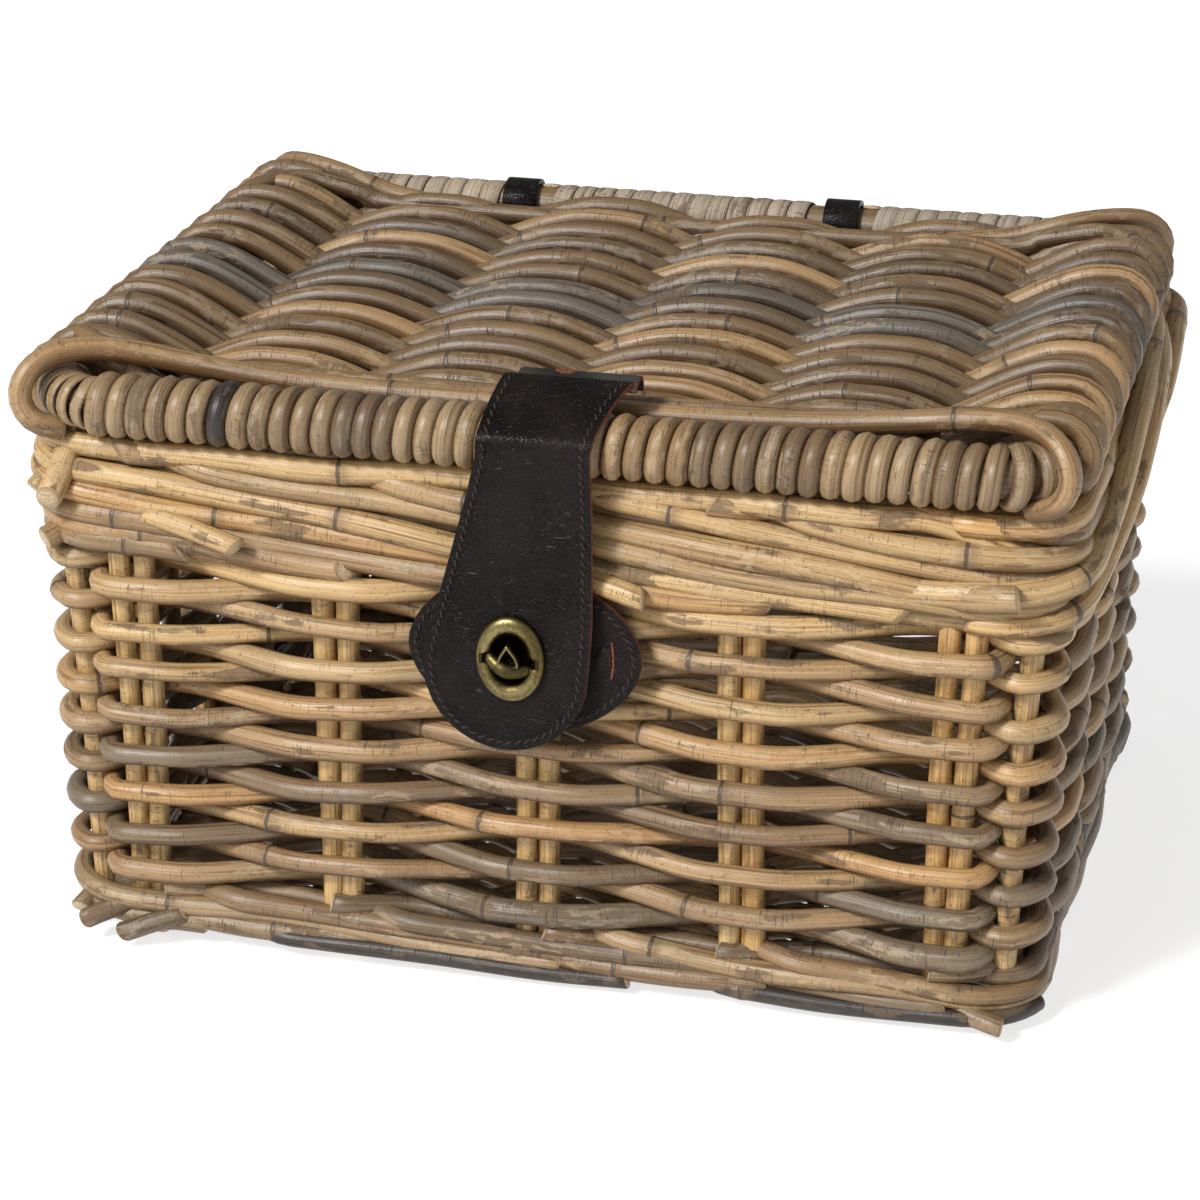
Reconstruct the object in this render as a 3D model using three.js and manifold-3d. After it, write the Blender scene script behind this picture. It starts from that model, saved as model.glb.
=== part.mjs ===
// A woven cane hamper with a hinged lid, a leather strap and a turn-lock.
// Millimetres, +Z up, front towards -Y. The origin is the middle of the underside.
import * as THREE from 'three';
import { mergeVertices } from 'three/addons/utils/BufferGeometryUtils.js';
import Module from 'manifold-3d';

const wasm = await Module();
wasm.setup();

// Driving dimensions of the basket body, measured to the line of the stakes
const bodyWidth = 376;
const bodyDepth = 297;
const cornerRadius = 20;
const caneDiameter = 8.6;
const stakeDiameter = 9;
const frontStakePairs = 5;
const sideStakePairs = 3;
const frontEndRoom = 28;
const sideEndRoom = 75.5;
const wallRows = 16;
const bottomBorderRows = 3;
const topBorderRows = 5;
const borderRowPitch = 9.6;
const bottomRowPitch = 8.928;
const borderOutside = 6.5;
const borderInside = 5;
const grooveDepth = 2;
const baseThickness = 9;
const stakeRoom = 1.8;
const gap = 0.3;

// Driving dimensions of the lid
const lidOverhangSide = 4;
const lidOverhangBack = 1.5;
const lidCornerRadius = 22;
const railDiameter = 18;
const coilThickness = 4;
const coilPitch = 10;
const peelThickness = 2;
const lidRows = 27;
const lidStakeCount = 4;
const lidStakeEndRoom = 78;
const lidStakeDiameter = 8;

// Driving dimensions of the leather and the turn-lock
const hingeLoopWidth = 15;
const hingeLoopPlaces = [-84, 61];
const hingeSlack = 0.4;
const leatherThickness = 2;
const strapSlack = 1;
const strapWidth = 46;
const strapPlace = 3;
const strapStraight = 18;
const strapFlareDrop = 52;
const strapFlareReach = 8;
const strapFlareStart = 2;
const strapHeadWidth = 64;
const strapHeadShift = -10;
const strapHeadShoulder = 14;
const strapLength = 120;
const patchWidth = 91;
const patchHeight = 66;
const patchCentre = -1;
const tieSlotSpacing = 62;
const tieSlotHeight = 14;
const tieWidth = 5;
const lockPlace = -4.5;
const lockDrop = 82;
const ringWidth = 25.6;
const ringHeight = 34.6;
const ringSideRim = 5.4;
const ringEndRim = 7.2;
const ringThickness = 2.4;
const sleeveWall = 0.9;
const liningThickness = 1.4;
const liningInset = 2;
const liningDrop = 19.5;
const plateThickness = 1;
const bossSlack = 1.4;
const bossRise = 0.6;
const knobLength = 18.6;
const knobThickness = 6.4;
const gripWidth = 10;
const gripHeight = 9;
const gripThickness = 3;
const gripRaise = 1.5;
const gripSeat = 2.88;
const postDiameter = 5;

// Levels and reaches that follow from them
const canePitch = caneDiameter;
const waveReach = stakeDiameter / 2 + caneDiameter;
const borderReach = stakeDiameter / 2 + borderOutside;
const borderInset = stakeDiameter / 2 + borderInside;
const wallLow = bottomBorderRows * bottomRowPitch + gap;
const wallHigh = wallLow + wallRows * canePitch;
const rimLow = wallHigh + gap;
const rimHigh = rimLow + topBorderRows * borderRowPitch;
const loopLow = rimHigh - 2 * borderRowPitch - leatherThickness;
const stakeHigh = loopLow - stakeRoom;
const stakePitchFront = (bodyWidth - 2 * frontEndRoom) / (frontStakePairs - 1);
const stakePitchSide = (bodyDepth - 2 * sideEndRoom) / (sideStakePairs - 1);
const coilRadius = railDiameter / 2 + coilThickness;
const peelRadius = railDiameter / 2 + peelThickness;
const panelReach = lidStakeDiameter / 2 + caneDiameter;
const lidReach = Math.max(coilRadius, panelReach);
const lidLevel = rimHigh + gap + lidReach;
const lidWidth = bodyWidth + 2 * lidOverhangSide;
const lidStakePitch = (lidWidth - 2 * lidStakeEndRoom) / (lidStakeCount - 1);
const wallFaceY = -bodyDepth / 2 - waveReach;
const lockLevel = lidLevel - lockDrop;

// How far each layer of the closure lies in front of the face of the front wall
const patchFrom = gap;
const baseFrom = patchFrom + leatherThickness + gap;
const washerFrom = baseFrom + plateThickness + gap;
const liningFrom = washerFrom + plateThickness + gap;
const flapFrom = liningFrom + liningThickness + gap;
const ringFrom = flapFrom + leatherThickness + gap;
const openingWidth = ringWidth - 2 * ringSideRim;
const openingHeight = ringHeight - 2 * ringEndRim;

// The strap turns round the coiled front rail, so that rail's place follows from the hanging flap
const turnInner = coilRadius + strapSlack;
const frontRailY = wallFaceY - flapFrom + turnInner;
const backRailY = bodyDepth / 2 + lidOverhangBack;
const lidDepth = backRailY - frontRailY;

const cane = new THREE.MeshStandardMaterial({ color: 0xb08d5f, roughness: 0.62 });
const paleCane = new THREE.MeshStandardMaterial({ color: 0xc9ac72, roughness: 0.58 });
const greyCane = new THREE.MeshStandardMaterial({ color: 0x8d7a5f, roughness: 0.68 });
const peel = new THREE.MeshStandardMaterial({ color: 0xa39780, roughness: 0.7 });
const leather = new THREE.MeshStandardMaterial({ color: 0x2a2320, roughness: 0.55 });
const brass = new THREE.MeshStandardMaterial({ color: 0x9c8a52, roughness: 0.35, metalness: 1 });

// Solids: closed meshes go to and from the boolean library here
function toSolid(geometry) {
  const bare = geometry.clone();
  bare.deleteAttribute('normal');
  bare.deleteAttribute('uv');
  const merged = mergeVertices(bare, 1e-4);
  return new wasm.Manifold(new wasm.Mesh({
    numProp: 3,
    vertProperties: new Float32Array(merged.attributes.position.array),
    triVerts: new Uint32Array(merged.index.array),
  }));
}

function toGeometry(solid) {
  const mesh = solid.getMesh();
  const geometry = new THREE.BufferGeometry();
  geometry.setAttribute('position', new THREE.BufferAttribute(mesh.vertProperties, 3));
  geometry.setIndex(new THREE.BufferAttribute(mesh.triVerts, 1));
  geometry.computeVertexNormals();
  return geometry;
}

function cut(geometry, tools) {
  let solid = toSolid(geometry);
  for (const tool of tools) solid = solid.subtract(toSolid(tool));
  return toGeometry(solid);
}

function join(geometries) {
  let solid = toSolid(geometries[0]);
  for (const other of geometries.slice(1)) solid = solid.add(toSolid(other));
  return toGeometry(solid);
}

// Carries a section of [reach, height] points along stations in plan, and closes both ends.
// The section runs round anticlockwise when the stations run clockwise seen from above.
function loft(section, stations) {
  const positions = [];
  const faces = [];
  const count = section.length;
  for (const { x, y, outX, outY } of stations) {
    for (const [reach, height] of section) positions.push(x + outX * reach, y + outY * reach, height);
  }
  for (let s = 0; s + 1 < stations.length; s += 1) {
    for (let p = 0; p < count; p += 1) {
      const a = s * count + p;
      const b = s * count + ((p + 1) % count);
      faces.push(a, a + count, b, b, a + count, b + count);
    }
  }
  const outline = section.map(([reach, height]) => new THREE.Vector2(reach, height));
  const last = (stations.length - 1) * count;
  for (const [a, b, c] of THREE.ShapeUtils.triangulateShape(outline, [])) {
    faces.push(a, b, c, last + a, last + c, last + b);
  }
  const geometry = new THREE.BufferGeometry();
  geometry.setAttribute('position', new THREE.Float32BufferAttribute(positions, 3));
  geometry.setIndex(faces);
  return geometry;
}

// Stations round half of each corner and along one side of a rounded rectangle.
// The side is named by its outward direction; its ends stop half a gap short of the corner diagonals.
function sideStations(side, width, depth, radius, segments = 2) {
  const [outX, outY] = { front: [0, -1], back: [0, 1], left: [-1, 0], right: [1, 0] }[side];
  const [alongX, alongY] = [-outY, outX];
  const halfLength = (outX === 0 ? width : depth) / 2 - radius;
  const halfDepth = (outX === 0 ? depth : width) / 2 - radius;
  const stations = [];
  for (const end of [-1, 1]) {
    for (let step = 0; step <= segments; step += 1) {
      const turn = end * (Math.PI / 4) * (end < 0 ? 1 - step / segments : step / segments);
      const dirX = outX * Math.cos(turn) + alongX * Math.sin(turn);
      const dirY = outY * Math.cos(turn) + alongY * Math.sin(turn);
      const back = Math.abs(turn) > Math.PI / 4 - 1e-6 ? (end * gap) / 2 : 0;
      stations.push({
        x: outX * halfDepth + alongX * end * halfLength + dirX * radius + dirY * back,
        y: outY * halfDepth + alongY * end * halfLength + dirY * radius - dirX * back,
        outX: dirX,
        outY: dirY,
      });
    }
  }
  return stations;
}

// The section of rods stacked one on another, ridged outside, with a flat inside, top and bottom
function ridgedSection(low, pitch, rows, outer, inner) {
  const section = [];
  for (let row = 0; row <= rows; row += 1) {
    section.push([outer - grooveDepth, low + row * pitch]);
    if (row < rows) section.push([outer, low + (row + 0.5) * pitch]);
  }
  section.push([-inner, low + rows * pitch], [-inner, low]);
  return section;
}

function roundRod(diameter, low, high, x, y, sides = 10) {
  const rod = new THREE.CylinderGeometry(diameter / 2, diameter / 2, high - low, sides);
  rod.rotateX(Math.PI / 2);
  rod.translate(x, y, (low + high) / 2);
  return rod;
}

// Two rods side by side that touch, as one figure-of-eight outline; spread is the clearance round it
function stakePair(place, low, high, spread = 0) {
  const radius = stakeDiameter / 2 + spread;
  const reach = stakeDiameter * 0.48;
  const meet = Math.acos(reach / radius);
  const outline = new THREE.Shape();
  outline.absarc(reach, 0, radius, -Math.PI + meet, Math.PI - meet, false);
  outline.absarc(-reach, 0, radius, meet, 2 * Math.PI - meet, false);
  const pair = new THREE.ExtrudeGeometry(outline, { depth: high - low, bevelEnabled: false, curveSegments: 5 });
  if (place.turned) pair.rotateZ(Math.PI / 2);
  pair.translate(place.x, place.y, low);
  return pair;
}

function cornerStake(place, low, high, spread = 0) {
  return roundRod(stakeDiameter + 2 * spread, low, high, place.x, place.y);
}

// Where the stakes stand, side by side and at the corners
const stakePlaces = [];
for (const [side, sign] of [['front', -1], ['back', 1]]) {
  for (let pair = 0; pair < frontStakePairs; pair += 1) {
    const x = (pair - (frontStakePairs - 1) / 2) * stakePitchFront;
    stakePlaces.push({ name: `${side}_stakes_${pair + 1}`, side, x, y: (sign * bodyDepth) / 2, turned: false });
  }
}
for (const [side, sign] of [['left', -1], ['right', 1]]) {
  for (let pair = 0; pair < sideStakePairs; pair += 1) {
    const y = (pair - (sideStakePairs - 1) / 2) * stakePitchSide;
    stakePlaces.push({ name: `${side}_stakes_${pair + 1}`, side, x: (sign * bodyWidth) / 2, y, turned: true });
  }
}
const diagonal = cornerRadius * (1 - Math.SQRT1_2);
const cornerPlaces = [];
for (const [depthName, ySign] of [['front', -1], ['back', 1]]) {
  for (const [widthName, xSign] of [['left', -1], ['right', 1]]) {
    cornerPlaces.push({
      name: `corner_stake_${depthName}_${widthName}`,
      sides: [depthName, widthName],
      x: xSign * (bodyWidth / 2 - diagonal),
      y: ySign * (bodyDepth / 2 - diagonal),
    });
  }
}

// Everything is modelled with the body's middle at x = y = 0; the group then moves it onto the origin
const hamper = new THREE.Group();

function place(name, geometry, material) {
  const mesh = new THREE.Mesh(geometry, material);
  mesh.name = name;
  hamper.add(mesh);
  return mesh;
}

// Hinge loops: a leather band round the lid's back rail and the two top rods of the back border
const loopInnerRadius = railDiameter / 2 + hingeSlack;
const loopFoot = loopLow + leatherThickness + loopInnerRadius;

function hingeLoop(x, spread = 0) {
  const inner = loopInnerRadius - spread;
  const outer = loopInnerRadius + leatherThickness + spread;
  const outline = new THREE.Shape();
  outline.absarc(0, lidLevel, outer, 0, Math.PI, false);
  outline.absarc(0, loopFoot, outer, Math.PI, 2 * Math.PI, false);
  const hole = new THREE.Path();
  hole.absarc(0, lidLevel, inner, 0, Math.PI, false);
  hole.absarc(0, loopFoot, inner, Math.PI, 2 * Math.PI, false);
  outline.holes.push(hole);
  const width = hingeLoopWidth + 2 * spread;
  const band = new THREE.ExtrudeGeometry(outline, { depth: width, bevelEnabled: false, curveSegments: 12 });
  band.rotateX(Math.PI / 2);
  band.rotateZ(Math.PI / 2);
  band.translate(x - width / 2, backRailY, 0);
  return band;
}

// Walls, borders and the channels that the stakes run in
const channelTools = (side, low, high) => [
  ...stakePlaces.filter((stake) => stake.side === side).map((stake) => stakePair(stake, low, high, gap)),
  ...cornerPlaces.filter((stake) => stake.sides.includes(side)).map((stake) => cornerStake(stake, low, high, gap)),
];

// How far a cutting tool runs past what it cuts
const through = 5;
for (const side of ['front', 'back', 'left', 'right']) {
  const stations = sideStations(side, bodyWidth, bodyDepth, cornerRadius);
  const bottom = loft(ridgedSection(0, bottomRowPitch, bottomBorderRows, borderReach, borderInset), stations);
  place(`${side}_bottom_border`, cut(bottom, channelTools(side, gap, wallLow + through)), greyCane);

  const wall = loft(ridgedSection(wallLow, canePitch, wallRows, waveReach, waveReach), stations);
  place(`${side}_wall`, cut(wall, channelTools(side, wallLow - through, wallHigh + through)), cane);

  const rim = loft(ridgedSection(rimLow, borderRowPitch, topBorderRows, borderReach, borderInset), stations);
  const rimTools = channelTools(side, rimLow - through, stakeHigh + gap);
  if (side === 'back') rimTools.push(...hingeLoopPlaces.map((x) => hingeLoop(x, gap)));
  if (side === 'front') {
    const notch = new THREE.CylinderGeometry(1, 1, strapWidth + 2 * gap, 24);
    const notchRadius = turnInner + leatherThickness + gap;
    notch.scale(notchRadius, 1, notchRadius);
    notch.rotateZ(Math.PI / 2);
    notch.translate(strapPlace, frontRailY, lidLevel);
    rimTools.push(notch);
  }
  place(`${side}_top_border`, cut(rim, rimTools), paleCane);
}
for (const stake of stakePlaces) place(stake.name, stakePair(stake, 2 * gap, stakeHigh), paleCane);
for (const stake of cornerPlaces) place(stake.name, cornerStake(stake, 2 * gap, stakeHigh), paleCane);

// Base: one woven sheet that lies inside the bottom border
const baseInset = borderInset + gap;
const baseCorner = cornerRadius - baseInset;
const baseX = bodyWidth / 2 - baseInset;
const baseY = bodyDepth / 2 - baseInset;
const baseOutline = new THREE.Shape();
baseOutline.absarc(baseX - baseCorner, baseY - baseCorner, baseCorner, 0, Math.PI / 2, false);
baseOutline.absarc(-baseX + baseCorner, baseY - baseCorner, baseCorner, Math.PI / 2, Math.PI, false);
baseOutline.absarc(-baseX + baseCorner, -baseY + baseCorner, baseCorner, Math.PI, 1.5 * Math.PI, false);
baseOutline.absarc(baseX - baseCorner, -baseY + baseCorner, baseCorner, 1.5 * Math.PI, 2 * Math.PI, false);
const base = new THREE.ExtrudeGeometry(baseOutline, { depth: baseThickness, bevelEnabled: false, curveSegments: 4 });
base.translate(0, 0, borderRowPitch);
place('woven_base', base, cane);

hingeLoopPlaces.forEach((x, index) => {
  place(`hinge_loop_${['left', 'right'][index]}`, hingeLoop(x), leather);
});

// Lid frame: a front and a back rail with bent ends, and a straight rail at each side
const railSides = 8;
const railSection = [];
for (let corner = 0; corner < railSides; corner += 1) {
  const angle = ((corner + 0.5) * 2 * Math.PI) / railSides;
  railSection.push([(railDiameter / 2) * Math.cos(angle), lidLevel + (railDiameter / 2) * Math.sin(angle)]);
}
const lidMiddleY = (frontRailY + backRailY) / 2;

function bentRail(end) {
  const stations = [];
  const segments = 4;
  for (const sign of [-end, end]) {
    for (let step = 0; step <= segments; step += 1) {
      const share = sign === -end ? 1 - step / segments : step / segments;
      const turn = (Math.PI / 2) * share;
      stations.push({
        x: -sign * (lidWidth / 2 - lidCornerRadius + lidCornerRadius * Math.sin(turn)),
        y: lidMiddleY + end * (lidDepth / 2 - lidCornerRadius + lidCornerRadius * Math.cos(turn)),
        outX: -sign * Math.sin(turn),
        outY: end * Math.cos(turn),
      });
    }
  }
  return loft(railSection, stations);
}

function lengthwiseRod(radius, inner, fromY, toY, x) {
  const profile = [[inner, 0], [radius, 0], [radius, toY - fromY], [inner, toY - fromY]];
  if (inner > 0) profile.push([inner, 0]);
  const rod = new THREE.LatheGeometry(profile.map(([r, h]) => new THREE.Vector2(r, h)), railSides);
  rod.translate(0, fromY, 0);
  rod.rotateY(Math.PI / railSides);
  rod.translate(x, 0, lidLevel);
  return rod;
}

const sideRailFront = frontRailY + lidCornerRadius + gap;
const sideRailBack = backRailY - lidCornerRadius - gap;
place('lid_front_rail', bentRail(-1), greyCane);
place('lid_back_rail', bentRail(1), greyCane);
for (const [side, sign] of [['left', -1], ['right', 1]]) {
  const x = (sign * lidWidth) / 2;
  place(`lid_${side}_rail`, lengthwiseRod(railDiameter / 2, 0, sideRailFront, sideRailBack, x), greyCane);
  const turns = lengthwiseRod(lidReach + gap, railDiameter / 2 + 2 * gap, sideRailFront, sideRailBack, x);
  place(`lid_${side}_weaver_turns`, turns, cane);
}

// Coils of round cane on the front rail and flat peel on the back rail
function wrap(fromX, toX, inner, outer, turns, groove, y) {
  const pitch = (toX - fromX) / turns;
  const profile = [[inner, 0]];
  for (let turn = 0; turn < turns; turn += 1) {
    profile.push([outer - groove, turn * pitch], [outer, (turn + 0.5) * pitch]);
  }
  profile.push([outer - groove, turns * pitch], [inner, turns * pitch], [inner, 0]);
  const sleeve = new THREE.LatheGeometry(profile.map(([r, h]) => new THREE.Vector2(r, h)), railSides);
  sleeve.rotateY(Math.PI / railSides);
  sleeve.rotateZ(-Math.PI / 2);
  sleeve.translate(fromX, y, lidLevel);
  return sleeve;
}
const wrapInner = railDiameter / 2 + 2 * gap;
const straightHalf = lidWidth / 2 - lidCornerRadius;
const coilTurns = Math.round((2 * straightHalf) / coilPitch);
place('front_rail_coils',
  wrap(-straightHalf, straightHalf, wrapInner, coilRadius, coilTurns, grooveDepth, frontRailY), greyCane);
const loopRoom = hingeLoopWidth / 2 + gap;
const peelEnds = [-straightHalf, ...hingeLoopPlaces.flatMap((x) => [x - loopRoom, x + loopRoom]), straightHalf];
['left', 'middle', 'right'].forEach((name, index) => {
  const [fromX, toX] = [peelEnds[2 * index], peelEnds[2 * index + 1]];
  place(`back_rail_peel_${name}`, wrap(fromX, toX, wrapInner, peelRadius, 1, 0, backRailY), peel);
});

// Lid panel: rods from side to side over and under four stakes that run front to back
const panelHalfX = lidWidth / 2 - lidReach - 2 * gap;

// How far the panel's corners keep from the line of a rail, so that they clear the inside of its bend
const bendInside = lidCornerRadius - (railDiameter / 2) * Math.cos(Math.PI / railSides) - gap;
const cornerAcross = panelHalfX - (lidWidth / 2 - lidCornerRadius);
const cornerRoom = lidCornerRadius - Math.sqrt(bendInside ** 2 - cornerAcross ** 2);
const panelFront = frontRailY + Math.max(turnInner + leatherThickness + 2 * gap, cornerRoom);
const panelBack = backRailY - Math.max(loopInnerRadius + leatherThickness + 2 * gap, cornerRoom);
const panelPitch = (panelBack - panelFront) / lidRows;
const panelOutline = new THREE.Shape();
panelOutline.moveTo(panelFront, panelReach - grooveDepth);
for (let row = 0; row < lidRows; row += 1) {
  panelOutline.lineTo(panelFront + (row + 0.5) * panelPitch, panelReach);
  panelOutline.lineTo(panelFront + (row + 1) * panelPitch, panelReach - grooveDepth);
}
panelOutline.lineTo(panelBack, -panelReach);
panelOutline.lineTo(panelFront, -panelReach);
const panel = new THREE.ExtrudeGeometry(panelOutline, { depth: 2 * panelHalfX, bevelEnabled: false });
panel.rotateX(Math.PI / 2);
panel.rotateZ(Math.PI / 2);
panel.translate(-panelHalfX, 0, lidLevel);

function lidStake(x, fromY, toY, diameter) {
  const rod = roundRod(diameter, fromY, toY, x, 0, 8);
  rod.rotateX(-Math.PI / 2);
  rod.translate(0, 0, lidLevel);
  return rod;
}
const lidStakePlaces = [];
for (let stake = 0; stake < lidStakeCount; stake += 1) {
  lidStakePlaces.push((stake - (lidStakeCount - 1) / 2) * lidStakePitch);
}
const channelDiameter = lidStakeDiameter + 2 * gap;
const [channelFrom, channelTo] = [panelFront - through, panelBack + through];
const lidChannels = lidStakePlaces.map((x) => lidStake(x, channelFrom, channelTo, channelDiameter));
place('lid_woven_panel', cut(panel, lidChannels), cane);

// A stake that stands behind the strap starts behind the strap's turn; all stop in front of the hinge loops
const backTurn = Math.max(peelRadius, loopInnerRadius + leatherThickness);
lidStakePlaces.forEach((x, index) => {
  const behindStrap = Math.abs(x - strapPlace) < (strapWidth + lidStakeDiameter) / 2 + gap;
  const fromY = behindStrap ? panelFront : frontRailY + coilRadius + 2 * gap;
  const toY = backRailY - backTurn - 2 * gap;
  place(`lid_stake_${index + 1}`, lidStake(x, fromY, toY, lidStakeDiameter), paleCane);
});

// Closure, built outwards from the face of the front wall
const outwards = (distance) => wallFaceY - distance;

function ovalPlate(width, height, from, thickness, x, holes = []) {
  const outline = new THREE.Shape();
  outline.absellipse(0, 0, width / 2, height / 2, 0, 2 * Math.PI, false, 0);
  outline.holes.push(...holes);
  const plate = new THREE.ExtrudeGeometry(outline, { depth: thickness, bevelEnabled: false, curveSegments: 14 });
  plate.rotateX(Math.PI / 2);
  plate.translate(x, outwards(from), lockLevel);
  return plate;
}

function ovalHole(width, height) {
  const hole = new THREE.Path();
  hole.absellipse(0, 0, width / 2, height / 2, 0, 2 * Math.PI, true, 0);
  return hole;
}

function slotTool(x, width, height) {
  const slot = new THREE.BoxGeometry(width, 3 * leatherThickness, height);
  slot.translate(x, outwards(gap + leatherThickness / 2), lockLevel);
  return slot;
}

const tiePlaces = [patchCentre - tieSlotSpacing / 2, patchCentre + tieSlotSpacing / 2];
const patch = ovalPlate(patchWidth, patchHeight, patchFrom, leatherThickness, patchCentre);
const slotTools = tiePlaces.map((x) => slotTool(x, tieWidth + 2 * gap, tieSlotHeight + 2 * gap));
place('latch_patch', cut(patch, slotTools), leather);
tiePlaces.forEach((x, index) => {
  const tie = new THREE.BoxGeometry(tieWidth, leatherThickness, tieSlotHeight);
  tie.translate(x, outwards(gap + leatherThickness / 2), lockLevel);
  place(`patch_tie_${['left', 'right'][index]}`, tie, leather);
});

const bossWidth = openingWidth - bossSlack;
const bossHeight = openingHeight - bossSlack;
const bossTop = ringFrom + bossRise;
const postFrom = baseFrom + plateThickness;
const holeDiameter = postDiameter + 2 * gap;

const lockFlange = ovalPlate(ringWidth - 1, ringHeight - 1, baseFrom, plateThickness, lockPlace);
const lockBoss = ovalPlate(bossWidth, bossHeight, baseFrom, bossTop - baseFrom, lockPlace);
const postHole = ovalPlate(holeDiameter, holeDiameter, postFrom, bossTop - baseFrom, lockPlace);
place('turn_lock_base', cut(join([lockFlange, lockBoss]), [postHole]), brass);
place('eyelet_washer', ovalPlate(ringWidth, ringHeight, washerFrom, plateThickness, lockPlace,
  [ovalHole(openingWidth, openingHeight)]), brass);

const rim = ovalPlate(ringWidth, ringHeight, ringFrom, ringThickness, lockPlace,
  [ovalHole(openingWidth, openingHeight)]);
const sleeveFrom = washerFrom + plateThickness + gap;
const sleeve = ovalPlate(openingWidth + 2 * sleeveWall, openingHeight + 2 * sleeveWall, sleeveFrom,
  ringFrom + ringThickness / 2 - sleeveFrom, lockPlace, [ovalHole(openingWidth, openingHeight)]);
place('eyelet_ring', join([rim, sleeve]), brass);

// Strap: the flap hangs from a turn of leather round the coiled front rail and widens to a round head
const headRadius = strapHeadWidth / 2;
const headCentreX = strapPlace + strapHeadShift;
const headLevel = lidLevel - strapLength + headRadius;

function strapOutline(inset, topLevel) {
  const half = strapWidth / 2 - inset;
  const outline = new THREE.Shape();
  outline.moveTo(strapPlace + half, topLevel);
  outline.lineTo(strapPlace - half, topLevel);
  outline.lineTo(strapPlace - half - strapFlareStart, lidLevel - strapStraight);
  outline.quadraticCurveTo(strapPlace - half - strapFlareReach, lidLevel - strapFlareDrop,
    headCentreX - headRadius + inset, headLevel + strapHeadShoulder);
  outline.absarc(headCentreX, headLevel, headRadius - inset, Math.PI, 2 * Math.PI, false);
  outline.lineTo(headCentreX + headRadius - inset, headLevel + strapHeadShoulder);
  const hole = new THREE.Path();
  const sleeveRoom = sleeveWall + gap;
  hole.absellipse(lockPlace, lockLevel, openingWidth / 2 + sleeveRoom, openingHeight / 2 + sleeveRoom,
    0, 2 * Math.PI, true, 0);
  outline.holes.push(hole);
  return outline;
}

function leatherSheet(outline, from, thickness) {
  const sheet = new THREE.ExtrudeGeometry(outline, { depth: thickness, bevelEnabled: false, curveSegments: 10 });
  sheet.rotateX(Math.PI / 2);
  sheet.translate(0, outwards(from), 0);
  return sheet;
}

function strapTurn(inner, thickness, startAngle, endAngle) {
  const outline = new THREE.Shape();
  outline.absarc(0, 0, inner + thickness, startAngle, endAngle, false);
  if (endAngle - startAngle < 2 * Math.PI - 1e-6) {
    outline.absarc(0, 0, inner, endAngle, startAngle, true);
  } else {
    const hole = new THREE.Path();
    hole.absarc(0, 0, inner, 0, 2 * Math.PI, true);
    outline.holes.push(hole);
  }
  const turn = new THREE.ExtrudeGeometry(outline, { depth: strapWidth, bevelEnabled: false, curveSegments: 20 });
  turn.rotateX(Math.PI / 2);
  turn.rotateZ(Math.PI / 2);
  turn.translate(strapPlace - strapWidth / 2, frontRailY, lidLevel);
  return turn;
}

const flap = leatherSheet(strapOutline(0, lidLevel), flapFrom, leatherThickness);
place('strap_flap', join([flap, strapTurn(turnInner, leatherThickness, 0, 2 * Math.PI)]), leather);
place('strap_lining',
  leatherSheet(strapOutline(liningInset, lidLevel - liningDrop), liningFrom, liningThickness), leather);
const [tailFrom, tailTo] = [0.3 * Math.PI, 0.62 * Math.PI];
place('strap_tail', strapTurn(turnInner + leatherThickness + gap, leatherThickness, tailFrom, tailTo), leather);

// Knob: a bar across the ring with a pointed finger grip, on a post that turns in the base
const knobFrom = ringFrom + ringThickness + gap;
const postLength = knobFrom - postFrom + knobThickness / 2;
const post = ovalPlate(postDiameter, postDiameter, postFrom + gap, postLength, lockPlace);
const bar = new THREE.CapsuleGeometry(knobThickness / 2, knobLength - knobThickness, 3, 10);
bar.rotateZ(Math.PI / 2);
bar.translate(lockPlace, outwards(knobFrom + knobThickness / 2), lockLevel);
const gripOutline = new THREE.Shape();
const gripHalf = gripWidth / 2;
gripOutline.moveTo(-gripHalf, 0);
gripOutline.lineTo(gripHalf, 0);
gripOutline.quadraticCurveTo(gripHalf - 1, gripHalf, 0, gripHeight);
gripOutline.quadraticCurveTo(1 - gripHalf, gripHalf, -gripHalf, 0);
const grip = new THREE.ExtrudeGeometry(gripOutline, { depth: gripThickness, bevelEnabled: false, curveSegments: 5 });
grip.rotateX(Math.PI);
grip.rotateX(-Math.PI / 3);
grip.translate(lockPlace, outwards(knobFrom + gripSeat), lockLevel + gripRaise);
place('turn_lock_knob', join([post, bar, grip]), brass);

// Stand the hamper with the middle of its box on the origin
const box = new THREE.Box3().setFromObject(hamper);
hamper.position.set(-(box.min.x + box.max.x) / 2, -(box.min.y + box.max.y) / 2, 0);

export default hamper;
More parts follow.
